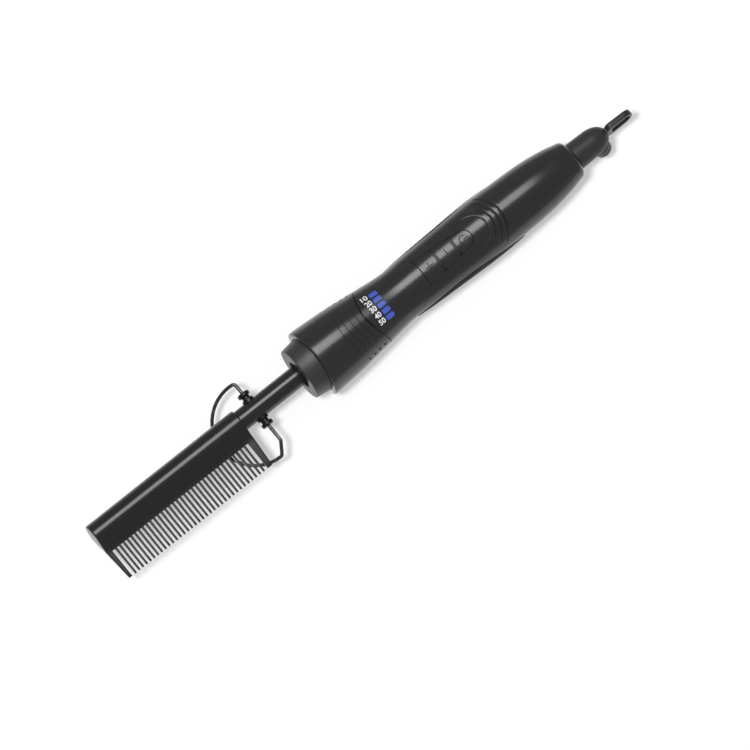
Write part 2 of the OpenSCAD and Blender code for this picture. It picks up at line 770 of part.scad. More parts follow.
module lower_shell() color("#2e2f31") place() difference() {
    union() {
        intersection() {
            shell_blank();
            slab([0, -front_r - 1, -front_r - 1], [end_x + 1, front_r + 1, 0]);
        }
        shell_ribs();
    }
    rod(clamp_x - 1, clamp_x + clamp_w + 1, neck_r + press_gap);
    for (y = [-clamp_screw_y, clamp_screw_y]) translate([clamp_x + clamp_w / 2, y, -saddle_depth])
        cylinder(h = saddle_depth + 1, r = clamp_screw_r + press_gap);
    for (p = [[post_xs[0], post_y], [post_xs[1], -post_y]])
        translate([p.x, p.y, board_z - board_screw_depth - 0.5])
            cylinder(h = board_screw_depth + 1, r = board_screw_r + press_gap);
    for (x = screw_xs) translate([x, 0, 0]) {
        translate([0, 0, -front_r]) cylinder(h = front_r + 1, r = screw_r + 0.1);
        translate([0, 0, -front_r - 1]) cylinder(h = front_r + 1 - screw_seat, r = screw_head_r + 0.3);
    }
}

// ---- Buttons and lights ----

module cap(i) {
    intersection() {
        handle_solid(button_proud);
        translate([0, 0, button_under]) linear_extrude(front_r) row_plan(0);
        slab([cap_front(i), -front_r, 0], [cap_front(i) + cap_length, front_r, 2 * front_r]);
    }
    translate([0, 0, button_under]) linear_extrude(button_lip_t) intersection() {
        row_plan(button_lip_w);
        translate([cap_front(i) - (i == 0 ? button_lip_w : 0), -front_r])
            square([cap_length + (i == 1 ? 0 : button_lip_w), 2 * front_r]);
    }
}

module plus_button() color("#26272a") place() cap(0);
module minus_button() color("#26272a") place() cap(1);
module power_button() color("#26272a") place() cap(2);

module light_guide() color("#4a5fd0") place() {
    intersection() {
        handle_solid(0.05);
        light_slots(0);
    }
    spread = (light_count - 1) / 2 * light_pitch + 8;
    outer = -shell_wall - face_gap;
    intersection() {
        turned(concat(handle_line(guide_from, guide_to, outer, 4),
            handle_line(guide_to, guide_from, outer - guide_t, 4)));
        intersection_for(s = [-1, 1]) rotate([s * (90 - spread), 0, 0])
            slab([0, -2 * front_r, 0], [2 * lights_x, 2 * front_r, 2 * front_r]);
    }
}

module indicator_leds() color("#dfe6ff") place() for (i = [0:light_count - 1])
    translate([lights_x, (i - (light_count - 1) / 2) * led_pitch, board_top])
        translate([-led_size.x / 2, -led_size.y / 2, 0]) cube(led_size);

// ---- Circuit board ----

module circuit_board() color("#1f5c3a") place() difference() {
    slab([board_x, -board_w / 2, board_z], [board_x + board_length, board_w / 2, board_top]);
    for (p = [[post_xs[0], post_y], [post_xs[1], -post_y]]) translate([p.x, p.y, board_z - 1])
        cylinder(h = board_t + 2, r = board_screw_r + 0.1);
}

module push_switches() color("#3a3a3c") place() for (i = [0:2])
    translate([cap_front(i) + cap_length / 2, 0, board_top]) {
        slab([-switch_w / 2, -switch_w / 2, 0], [switch_w / 2, switch_w / 2, switch_h]);
        cylinder(h = switch_h + plunger_h, r = plunger_r);
    }

// A part on the board's upper or lower face, from its place behind the board's front edge
module on_board(from, size) place() translate([board_x + from, -size.y / 2, board_top]) cube(size);
module under_board(from, size) place()
    translate([board_x + from, -size.y / 2, board_z - size.z]) cube(size);

module control_chip() color("#1b1b1d") on_board(chip_from, chip_size);
module triac() color("#2a2a2c") under_board(triac_from, triac_size);
module capacitor() color("#caa23a") under_board(capacitor_from, capacitor_size);
module board_fuse() color("#4a3b2a") under_board(board_fuse_from, board_fuse_size);

module board_screws() color("#a9abae") place() for (p = [[post_xs[0], post_y], [post_xs[1], -post_y]])
    translate([p.x, p.y, 0]) {
        translate([0, 0, board_z - board_screw_depth])
            cylinder(h = board_t + board_screw_depth, r = board_screw_r);
        translate([0, 0, board_top]) cylinder(h = board_head_h, r = board_head_r);
    }

// ---- Inner fixings ----

module tube_clamp() color("#9a9ca0") place() intersection() {
    difference() {
        union() {
            rod(clamp_x, clamp_x + clamp_w, neck_r + press_gap + clamp_t);
            slab([clamp_x, -clamp_half, 0], [clamp_x + clamp_w, clamp_half, clamp_t]);
        }
        rod(clamp_x - 1, clamp_x + clamp_w + 1, neck_r + press_gap);
        for (y = [-clamp_screw_y, clamp_screw_y]) translate([clamp_x + clamp_w / 2, y, -1])
            cylinder(h = clamp_t + 2, r = clamp_screw_r + 0.1);
    }
    slab([0, -front_r, 0], [neck_tail, front_r, front_r]);
}

module clamp_screws() color("#a9abae") place() for (y = [-clamp_screw_y, clamp_screw_y])
    translate([clamp_x + clamp_w / 2, y, 0]) {
        translate([0, 0, 0.5 - saddle_depth]) cylinder(h = saddle_depth + clamp_t - 0.5, r = clamp_screw_r);
        translate([0, 0, clamp_t]) cylinder(h = clamp_head_h, r = clamp_head_r);
    }

module shell_screws() color("#3c3c3e") place() for (x = screw_xs) translate([x, 0, 0]) {
    translate([0, 0, -screw_seat]) cylinder(h = screw_seat + screw_up, r = screw_r);
    translate([0, 0, -screw_seat - screw_head_h]) cylinder(h = screw_head_h, r = screw_head_r);
}

// ---- Tail ----

// Points the children's +Z axis out of the cord outlet
module at_outlet() translate([dome_x + outlet_back, 0, 0]) rotate([-outlet_turn, 0, 0])
    rotate([0, 180 - outlet_lean, 0]) children();

dome_line = [for (a = [10:10:80])
    [swivel_neck_r * pow(cos(a), 0.9), dome_x + dome_length * sin(a)]];

module tail_swivel() color("#2a2b2d") place() difference() {
    union() {
        turned(concat(
            [[0, shaft_front], [ring_seat_r, shaft_front], [ring_seat_r, ring_back],
             [shaft_collar_r, ring_back], [shaft_collar_r, collar_back], [shaft_r, collar_back],
             [shaft_r, swivel_x], [swivel_r, swivel_x], [swivel_neck_r, dome_x]],
            dome_line, [[0, dome_end]]));
        at_outlet() {
            cylinder(h = outlet_reach - outlet_bevel, r = outlet_r);
            translate([0, 0, outlet_reach - outlet_bevel])
                cylinder(h = outlet_bevel, r1 = outlet_r, r2 = outlet_r - outlet_bevel);
        }
    }
    rod(shaft_front - 1, dome_x + outlet_back, channel_r);
    at_outlet() {
        translate([0, 0, -outlet_channel_r - 0.2]) cylinder(h = outlet_reach, r = outlet_channel_r);
        translate([0, 0, outlet_reach - gland_length])
            cylinder(h = gland_length + 1, r = cord_r + gland_wall + press_gap);
    }
    rotate([loop_turn, 0, 0]) slab(
        [dome_end - loop_root - 0.2, -loop_root_half - press_gap, -loop_t / 2 - press_gap],
        [dome_end + 1, loop_root_half + press_gap, loop_t / 2 + press_gap]);
}

module cord_gland() color("#19191b") place() at_outlet()
    translate([0, 0, outlet_reach - gland_length]) difference() {
        cylinder(h = gland_length, r = cord_r + gland_wall);
        translate([0, 0, -1]) cylinder(h = gland_length + 2, r = cord_r);
    }

module slip_rings() color("#c8a04a") place() for (i = [0, 1])
    translate([ring_back - ring_w - i * ring_space, 0, 0]) difference() {
        rod(0, ring_w, ring_r);
        rod(-1, ring_w + 1, ring_seat_r + press_gap);
    }

module contact_block() color("#e0dccf") place()
    slab([block_x, -block_half, block_top - block_h], [block_x + block_w, block_half, block_top]);

module contact_leaves() color("#c8a04a") place() for (i = [0, 1])
    translate([ring_back - ring_w / 2 - i * ring_space, 0, block_top]) {
        slab([-leaf_half_w, leaf_from, 0], [leaf_half_w, leaf_from + leaf_t, leaf_top]);
        slab([-leaf_half_w, leaf_from, leaf_top - leaf_t], [leaf_half_w, leaf_to, leaf_top]);
    }

// Leads from the contact block, past the screw bosses and up under the board
module supply_leads() color("#222222") place() {
    from_z = block_top - block_h / 2;
    to_z = board_z - supply_r - 0.05;
    tilt = 40;
    slope = (to_z - from_z - 2 * supply_bend * (1 - cos(tilt))) / sin(tilt);
    level = block_x - board_x - board_length + supply_under
        - slope * cos(tilt) - 2 * supply_bend * sin(tilt);
    steps = [[0.8 * level, -supply_bend, -tilt, 4], [slope, supply_bend, tilt, 4], [0.2 * level, 0, 0, 0]];
    for (y = [-supply_y, supply_y]) translate([block_x, y, from_z])
        rotate([90, 0, 0]) wire(steps, [0, 0, 180], supply_r);
}

module loop_plan() {
    steps = 16;
    end_half = loop_end_w / 2;
    polygon(concat(
        [[0, -loop_root_w / 2 + 2], [2, -loop_root_w / 2]],
        [for (i = [0:steps]) let(a = between(-90, 90, i / steps))
            [loop_length - end_half + end_half * cos(a), end_half * sin(a)]],
        [[2, loop_root_w / 2], [0, loop_root_w / 2 - 2]]));
}

module slot_plan() {
    steps = 12;
    half = slot_w / 2;
    slot_to = loop_length - (loop_end_w - slot_w) / 2;
    polygon(concat(
        [[slot_from, -half + 1], [slot_from + 1, -half]],
        [for (i = [0:steps]) let(a = between(-90, 90, i / steps))
            [slot_to - half + half * cos(a), half * sin(a)]],
        [[slot_from + 1, half], [slot_from, half - 1]]));
}

module hanging_loop() color("#232426") place() rotate([loop_turn, 0, 0]) {
    translate([dome_end, 0, -loop_t / 2]) linear_extrude(loop_t) difference() {
        loop_plan();
        slot_plan();
    }
    slab([dome_end - loop_root, -loop_root_half, -loop_t / 2], [dome_end + 1, loop_root_half, loop_t / 2]);
}

comb_head();
neck_tube();
heater_blocks();
mica_sheets();
electrodes();
heating_ceramics();
thermal_fuse();
temperature_sensor();
heater_leads();
sensor_leads();
stand_studs();
stand_wire();
nose_ring();
heat_bush();
front_collar();
upper_shell();
lower_shell();
left_grip();
right_grip();
plus_button();
minus_button();
power_button();
light_guide();
indicator_leds();
circuit_board();
push_switches();
control_chip();
triac();
capacitor();
board_fuse();
board_screws();
shell_screws();
tube_clamp();
clamp_screws();
tail_swivel();
slip_rings();
contact_block();
contact_leaves();
supply_leads();
hanging_loop();
cord_gland();
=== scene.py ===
import math
import bmesh
import bpy
import numpy as np
from mathutils import Matrix, Vector


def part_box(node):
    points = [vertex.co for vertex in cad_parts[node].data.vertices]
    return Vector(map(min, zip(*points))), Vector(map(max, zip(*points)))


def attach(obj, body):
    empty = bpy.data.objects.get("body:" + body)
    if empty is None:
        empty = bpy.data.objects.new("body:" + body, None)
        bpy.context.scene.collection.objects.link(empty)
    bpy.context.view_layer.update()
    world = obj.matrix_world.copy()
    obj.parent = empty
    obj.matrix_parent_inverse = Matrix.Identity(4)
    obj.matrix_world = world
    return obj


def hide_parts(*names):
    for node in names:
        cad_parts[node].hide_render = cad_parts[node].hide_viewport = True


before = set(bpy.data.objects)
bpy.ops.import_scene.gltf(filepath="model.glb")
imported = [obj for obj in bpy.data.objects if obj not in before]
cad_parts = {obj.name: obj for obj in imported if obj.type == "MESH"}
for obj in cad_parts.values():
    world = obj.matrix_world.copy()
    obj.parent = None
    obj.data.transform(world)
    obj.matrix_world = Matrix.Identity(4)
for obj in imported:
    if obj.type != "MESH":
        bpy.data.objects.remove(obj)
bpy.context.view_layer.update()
print("frame loaded:", len(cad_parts), "nodes")

# Everything below is worked out in millimetres from the middle of the nose ring's front face,
# with x towards the tail, the teeth along -y and the buttons facing +z.
mm = 0.001
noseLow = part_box("nose_ring")[0]
tubeLow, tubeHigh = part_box("neck_tube")
noseCentre = np.array([noseLow.x, (tubeLow.y + tubeHigh.y) / 2, (tubeLow.z + tubeHigh.z) / 2])

view = dict(
    away=7.0,                       # metres from the camera to the comb
    towards=(-0.17, -0.125, 0.98),  # from the comb to the camera
    axisTurn=38.43,                 # degrees that the handle climbs in the picture
    millimetresPerPixel=0.4494, picture=750, nosePixel=(299.2, 374.8), sensor=36.0, near=0.05, far=50,
)


# A new object in the scene.
def added(name, data):
    thing = bpy.data.objects.new(name, data)
    bpy.context.scene.collection.objects.link(thing)
    return thing


# The matrix of a thing at a place, from its own three axes.
def standing(right, up, back, place):
    return Matrix([*zip(right, up, back, place), (0, 0, 0, 1)])


# The picture's right and up are the comb's x and y, seen along the view and turned by axisTurn.
def addCamera():
    back = Vector(view["towards"]).normalized()
    along = Vector((1, 0, 0))
    along = (along - along.dot(back) * back).normalized()
    across = back.cross(along)
    turn = math.radians(view["axisTurn"])
    right = along * math.cos(turn) - across * math.sin(turn)
    up = along * math.sin(turn) + across * math.cos(turn)
    half = view["picture"] / 2
    step = view["millimetresPerPixel"] * mm
    aim = (Vector(noseCentre) + right * (half - view["nosePixel"][0]) * step
           - up * (half - view["nosePixel"][1]) * step)
    data = bpy.data.cameras.new("photoCamera")
    data.sensor_width = view["sensor"]
    data.lens = view["sensor"] * view["away"] / (view["picture"] * step)
    data.clip_start, data.clip_end = view["near"], view["far"]
    camera = added("photoCamera", data)
    camera.matrix_world = standing(right, up, back, aim + back * view["away"])
    bpy.context.scene.camera = camera


addCamera()
print("camera placed")


# A socket that can be added, multiplied and divided; each sum adds a Math node.
class Link:

    def __init__(self, finish, socket):
        self.finish = finish
        self.socket = socket

    def maths(self, operation, other, clamp=False):
        return self.finish.node("Math", dict(operation=operation, use_clamp=clamp), {0: self, 1: other})

    def __add__(self, other):
        return self.maths("ADD", other)

    __radd__ = __add__

    def __sub__(self, other):
        return self.maths("SUBTRACT", other)

    def __mul__(self, other):
        return self.maths("MULTIPLY", other)

    def __truediv__(self, other):
        return self.maths("DIVIDE", other)

    def clipped(self):
        return self.maths("ADD", 0.0, clamp=True)


# One material, or the world, with its nodes made by name.
class Finish:

    def __init__(self, name, world=None):
        self.owner = world or bpy.data.materials.new(name)
        self.owner.use_nodes = True
        self.tree = self.owner.node_tree
        self.tree.nodes.clear()
        self.out = self.tree.nodes.new("ShaderNodeOutput" + ("World" if world else "Material"))
        self.where = self.node("TexCoord", output="Generated" if world else "Object")

    def node(self, kind, settings=None, sockets=None, output=0):
        made = self.tree.nodes.new("ShaderNode" + kind)
        for key, value in (settings or {}).items():
            if key == "stops":
                ramp = made.color_ramp
                for i, (place, colour) in enumerate(value):
                    stop = ramp.elements[i] if i < 2 else ramp.elements.new(place)
                    stop.position = place
                    stop.color = (*colour, 1)
            else:
                setattr(made, key, value)
        for key, value in (sockets or {}).items():
            if isinstance(value, Link):
                self.tree.links.new(value.socket, made.inputs[key])
            else:
                made.inputs[key].default_value = value
        return Link(self, made.outputs[output])

    def noise(self, scale, detail=3.0, stretch=(1, 1, 1)):
        place = self.node("Mapping", {}, {"Vector": self.where, "Scale": stretch})
        return self.node("TexNoise", {}, {"Vector": place, "Scale": scale, "Detail": detail})

    def mixed(self, amount, first, second):
        return self.node("Mix", dict(data_type="RGBA"), {0: amount, 6: first, 7: second}, 2)

    def ramp(self, amount, stops):
        return self.node("ValToRGB", dict(stops=stops), {0: amount})

    def shown(self, shader):
        self.tree.links.new(shader.socket, self.out.inputs["Surface"])
        return self.owner

    # A tone, a roughness kept within 0 to 1, a bump of some height, and any more sockets.
    def surface(self, tone, roughness, height, distance, more=None):
        bump = self.node("Bump", {}, {"Height": height, "Distance": distance, "Strength": 1.0})
        return self.shown(self.node("BsdfPrincipled", {}, {
            "Base Color": tone, "Roughness": roughness.clipped(), "Normal": bump, **(more or {})}))


# A grey of that value, a little bluer by tint.
def grey(value, tint=0.0):
    return (value * (1 - tint), value * (1 - tint / 3), value * (1 + tint), 1)


def shaded(colour, share=1.0):
    return (*[c * share for c in colour], 1)


# Moulded plastic: fine spark grain, slow sheen patches, and grooves darkened with painted shade and made duller.
def mouldedPlastic(name, base, roughness, specular=0.5, grain=0.000008):
    f = Finish(name)
    tint = 0.03
    slow = f.noise(40, 2.0)
    # A point attribute darkens the base colour towards 0.15 of itself in grooves, pits and engravings: painted
    # shade. It also makes them duller.
    paintedShade = f.node("Attribute", dict(attribute_name="paintedShade"), output="Fac")
    tone = f.mixed(slow, grey(base * 0.94, tint), grey(base * 1.06, tint))
    rough = (roughness - 0.02) + slow * 0.02 + f.noise(300, 3.0, (0.5, 1, 1)) * 0.02 + paintedShade * 0.35
    return f.surface(f.mixed(paintedShade, tone, grey(base * 0.15, tint)), rough, f.noise(5200, 2.0), grain,
                     {"Specular IOR Level": specular})


# Baked black coating on metal: orange peel, fine pin marks and slightly rubbed patches.
def coatedMetal(name, base, roughness, specular):
    f = Finish(name)
    rubbed = f.ramp(f.noise(260, 5.0, (0.5, 1, 1)), [(0.56, (0, 0, 0)), (0.85, (1, 1, 1))])
    tone = f.mixed(rubbed, grey(base, 0.02), grey(base * 1.35))
    return f.surface(tone, (roughness - 0.02) + f.noise(70) * 0.04, f.noise(1500, 2.0), 0.000004,
                     {"Specular IOR Level": specular})


# Soft-touch rubber: matte, with a fine leather-like pebble and dusty high spots.
def softRubber(name, base):
    f = Finish(name)
    cells = f.node("TexVoronoi", dict(feature="SMOOTH_F1"), {"Vector": f.where, "Scale": 2600})
    dust = f.noise(180, 5.0)
    return f.surface(f.mixed(dust, grey(base * 0.85), grey(base * 1.4)), 0.68 + dust * 0.1, cells, 0.00004,
                     {"Specular IOR Level": 0.2})


# Blackened drawn steel: dark, with fine scratches along the wire and bright worn spots.
def drawnWire(name):
    f = Finish(name)
    worn = f.ramp(f.noise(300, 5.0), [(0.5, (0, 0, 0)), (0.75, (1, 1, 1))])
    scratch = f.noise(2400, 2.0, (0.3, 1, 1))
    return f.surface(f.mixed(worn, grey(0.07), grey(0.2, 0.01)), 0.16 + scratch * 0.12, scratch, 0.00001,
                     {"Metallic": 0.9})


# Bare machined metal: fine turning lines and a slow change of tone.
def plainMetal(name, colour, roughness):
    f = Finish(name)
    lathed = f.noise(2600, 2.0, (0.15, 1, 1))
    return f.surface(f.mixed(f.noise(90), shaded(colour, 0.85), shaded(colour)), roughness + lathed * 0.15,
                     lathed, 0.00001, {"Metallic": 1.0})


# Sealed inner parts: an even body colour with a fine grain and a slight mottle.
def plainBody(name, colour, roughness):
    f = Finish(name)
    fine = f.noise(1800)
    return f.surface(f.mixed(f.noise(160), shaded(colour, 0.82), shaded(colour)), roughness + fine * 0.1,
                     fine, 0.00002)


# Blue translucent plastic, lit from below, with a moulded frost.
def litWindow(name, colour, strength):
    f = Finish(name)
    frost = f.noise(900)
    glow = f.mixed(frost, shaded(colour, 0.82), shaded(colour))
    return f.surface(shaded(colour, 0.5), 0.2 + frost * 0.12, frost, 0.00002,
                     {"Emission Color": glow, "Emission Strength": strength})


# White pad-printed ink, a little thin and broken at its edges.
def printedInk(name):
    f = Finish(name)
    thin = f.noise(2200)
    return f.surface(f.mixed(thin, grey(0.62), grey(0.88)), 0.42 + thin * 0.15, thin, 0.00001)


# Each finish's maker and what it is made with.
recipes = dict(
    combMetal=(coatedMetal, 0.0105, 0.22, 0.45),
    neckMetal=(coatedMetal, 0.012, 0.2, 0.5),
    studMetal=(coatedMetal, 0.003, 0.34, 0.3),
    wireMetal=(drawnWire,),
    nosePlastic=(mouldedPlastic, 0.026, 0.43),
    shellPlastic=(mouldedPlastic, 0.0165, 0.21, 0.5, 0.000002),
    gripRubber=(softRubber, 0.006),
    buttonPlastic=(mouldedPlastic, 0.0165, 0.21),
    windowPlastic=(litWindow, (0.055, 0.098, 0.46), 0.56),
    ink=(printedInk,),
    swivelPlastic=(mouldedPlastic, 0.029, 0.45, 0.24),
    loopPlastic=(mouldedPlastic, 0.016, 0.4, 0.3),
    ceramic=(plainBody, (0.72, 0.69, 0.61), 0.7),
    darkCeramic=(plainBody, (0.03, 0.029, 0.027), 0.7),
    aluminium=(plainMetal, (0.68, 0.69, 0.7), 0.32),
    mica=(plainBody, (0.55, 0.45, 0.26), 0.35),
    copper=(plainMetal, (0.75, 0.42, 0.24), 0.28),
    heatingCeramic=(plainBody, (0.36, 0.33, 0.3), 0.75),
    brass=(plainMetal, (0.76, 0.58, 0.27), 0.26),
    steel=(plainMetal, (0.55, 0.55, 0.57), 0.3),
    board=(plainBody, (0.02, 0.16, 0.06), 0.32),
    black=(plainBody, (0.02, 0.02, 0.022), 0.45),
    yellow=(plainBody, (0.62, 0.42, 0.06), 0.35),
    clear=(plainBody, (0.78, 0.82, 0.88), 0.15),
    redLead=(plainBody, (0.42, 0.04, 0.025), 0.5),
    yellowLead=(plainBody, (0.6, 0.5, 0.08), 0.5),
    blackLead=(plainBody, (0.015, 0.015, 0.016), 0.6),
)
finishes = {name: make(name, *values) for name, (make, *values) in recipes.items()}

# The nodes inside, by finish.
innerNodes = dict(
    aluminium="heater_blocks", mica="mica_sheets", copper="electrodes", heatingCeramic="heating_ceramics",
    ceramic="thermal_fuse contact_block", redLead="heater_leads", yellowLead="sensor_leads",
    darkCeramic="heat_bush", board="circuit_board", clear="indicator_leds", yellow="capacitor",
    black="temperature_sensor push_switches control_chip triac board_fuse", blackLead="supply_leads",
    steel="board_screws shell_screws tube_clamp clamp_screws", brass="slip_rings contact_leaves")
for finish, nodes in innerNodes.items():
    for node in nodes.split():
        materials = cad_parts[node].data.materials
        materials.clear()
        materials.append(finishes[finish])
print("finishes made:", len(finishes))


# Coordinates put together into points.
def joined(*parts):
    return np.stack(np.broadcast_arrays(*parts), -1)


# Points at a place along the x axis and a radius and angle round it, from the top.
def aroundAxis(x, radius, angle):
    return joined(x, radius * np.sin(angle), radius * np.cos(angle))


def fullTurn(count):
    return np.linspace(0, 2 * math.pi, count, endpoint=False)


# A profile of (x, radius) points carried round the x axis.
def lathe(profile, around=96):
    return aroundAxis(profile[:, :1], profile[:, 1:2], fullTurn(around))


# A grid of points, closed along its rows, with its faces and each point's share of painted shade, from 0 to 1.
# dropped marks points whose faces are left out where all four are marked.
def sheetOf(points, wrapRows=False, dropped=None, paintedShade=None):
    rows, columns = points.shape[:2]
    i, j = np.meshgrid(np.arange(rows if wrapRows else rows - 1), np.arange(columns), indexing="ij")
    below, beside = (i + 1) % rows, (j + 1) % columns
    faces = joined(i * columns + j, i * columns + beside, below * columns + beside, below * columns + j)
    faces = faces.reshape(-1, 4)
    if dropped is not None:
        faces = faces[~dropped.reshape(-1)[faces].all(1)]
    shade = np.zeros(rows * columns) if paintedShade is None else np.clip(paintedShade, 0, 1).reshape(-1)
    return points.reshape(-1, 3), faces, shade


# One piece from its sheets: placed in the frame, doubles merged, faces turned outwards, edges sharp
# past an angle.
def makePiece(name, sheets, finish, body, replaced, sharp=38):
    corners, faces, shades, start = [], [], [], 0
    for points, quads, shade in sheets:
        corners.append(points)
        faces.append(quads + start)
        shades.append(shade)
        start += len(points)
    mesh = bpy.data.meshes.new(name)
    mesh.from_pydata((noseCentre + mm * np.concatenate(corners)).tolist(), [], np.concatenate(faces).tolist())
    # each point's share of painted shade becomes a point attribute that the plastic finish reads
    mesh.attributes.new("paintedShade", "FLOAT", "POINT").data.foreach_set("value", np.concatenate(shades))
    welded = bmesh.new()
    welded.from_mesh(mesh)
    bmesh.ops.remove_doubles(welded, verts=welded.verts, dist=2e-6)
    bmesh.ops.dissolve_degenerate(welded, dist=1e-7, edges=welded.edges)
    bmesh.ops.recalc_face_normals(welded, faces=welded.faces)
    welded.to_mesh(mesh)
    welded.free()
    mesh.polygons.foreach_set("use_smooth", [True] * len(mesh.polygons))
    mesh.set_sharp_from_angle(angle=math.radians(sharp))
    mesh.materials.append(finishes[finish])
    piece = added(name, mesh)
    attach(piece, body)
    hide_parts(*replaced)
    uses = np.zeros(len(mesh.loops), int)
    mesh.loops.foreach_get("edge_index", uses)
    unshared = np.count_nonzero(np.bincount(uses, minlength=len(mesh.edges)) != 2)
    print(f"  {name}: {len(mesh.polygons)} faces, {unshared} open edges")


# A run of straight lines with an arc at each inner corner; a corner's radius is 0 where it stays
# sharp, and an arc takes up no more than its share of the shorter line.
def roundedLine(corners, radii, steps=6, share=0.48, straight=1.56):
    corners = [np.array(c, float) for c in corners]
    line = [corners[0]]
    for before, here, after, radius in zip(corners, corners[1:], corners[2:], radii):
        back, on = before - here, after - here
        reach = min(np.linalg.norm(back), np.linalg.norm(on))
        back, on = back / np.linalg.norm(back), on / np.linalg.norm(on)
        half = math.acos(max(-1, min(1, back @ on))) / 2
        if radius == 0 or half > straight:
            line.append(here)
            continue
        cut = min(radius / math.tan(half), share * reach)
        radius = cut * math.tan(half)
        middle = here + (back + on) / np.linalg.norm(back + on) * radius / math.sin(half)
        a, b = here + back * cut - middle, here + on * cut - middle
        turn = math.pi - 2 * half
        for k in range(steps + 1):
            t = k / steps
            line.append(middle + (math.sin((1 - t) * turn) * a + math.sin(t * turn) * b) / math.sin(turn))
    line.append(corners[-1])
    return np.array(line)


# A closed outline with rounded corners, its points spread evenly.
def smoothLoop(corners, radii, step):
    around = roundedLine([corners[-1], *corners, corners[0]], radii, 8)[1:-1]
    around = np.concatenate([around, around[:1]])
    length = np.concatenate([[0], np.cumsum(np.linalg.norm(np.diff(around, axis=0), axis=1))])
    even = np.linspace(0, length[-1], int(length[-1] / step), endpoint=False)
    return joined(*[np.interp(even, length, around[:, k]) for k in (0, 1)])


# The corners of a bar along x, as wide on both sides, that may taper.
def barCorners(startX, startHalf, endX, endHalf):
    return [(startX, -startHalf), (endX, -endHalf), (endX, endHalf), (startX, startHalf)]


def smoothStep(low, high, value):
    t = np.clip((value - low) / (high - low), 0, 1)
    return t * t * (3 - 2 * t)


handle = dict(
    frontX=10.2, frontR=17.3, waistX=57.5, waistR=12.75, rearX=106.0, rearR=14.4, tailX=157.0, tailR=9.9,
    # how far along and across the way to the next place the knots between them are
    shares=(((0.31, 0.22), (0.63, 0.59)), ((0.22, 0.3), (0.55, 0.64)),
            ((0.31, 0.1), (0.63, 0.27), (0.86, 0.62))),
    endR=6.9, endRound=2.8, wall=2.0, underCollarR=12.37, innerNeckR=10.57, shellFront=9.0, shaftHoleR=4.07,
    endWall=6.0,
)


# Round places of the handle and the knots between them.
def handleKnots():
    places = [np.array([handle[k + "X"], handle[k + "R"]]) for k in ("front", "waist", "rear", "tail")]
    knots = []
    for a, b, shares in zip(places, places[1:], handle["shares"]):
        knots += [a] + [a + (b - a) * share for share in shares]
    return np.array(knots + places[-1:])


# A cubic between each two knots, with the slope at a knot taken from its neighbours.
def handleRadius(x):
    kx, kr = handleKnots().T
    last = len(kx) - 1
    low, high = np.maximum(np.arange(last + 1) - 1, 0), np.minimum(np.arange(last + 1) + 1, last)
    slope = (kr[high] - kr[low]) / (kx[high] - kx[low])
    x = np.asarray(x, float)
    i = np.clip(np.searchsorted(kx, x, side="right") - 1, 0, last - 1)
    w = kx[i + 1] - kx[i]
    t = np.clip((x - kx[i]) / w, 0, 1)
    s = 1 - t
    return (kr[i] * s * s * (1 + 2 * t) + kr[i + 1] * t * t * (1 + 2 * s)
            + w * s * t * (slope[i] * s - slope[i + 1] * t))


comb = dict(
    length=84.9, neck=34.4, spineR=6.1, bladeReach=8.8, toothLength=15.6, pitch=2.185, rootWidth=1.02,
    endWidth=0.93, bladeThick=2.8, endThick=1.1, tipGuard=2.7, rearGuard=3.7, guardSlope=1.0, endBevel=0.7,
    endInset=0.6, edgeRound=0.12, gapBevel=1.25, boreR=5.13, boreDepth=11.0, tipRound=0.45, swell=1.12,
    swellAhead=0.8, wallLead=0.02, leastHalf=0.05, seatWide=0.35,
)


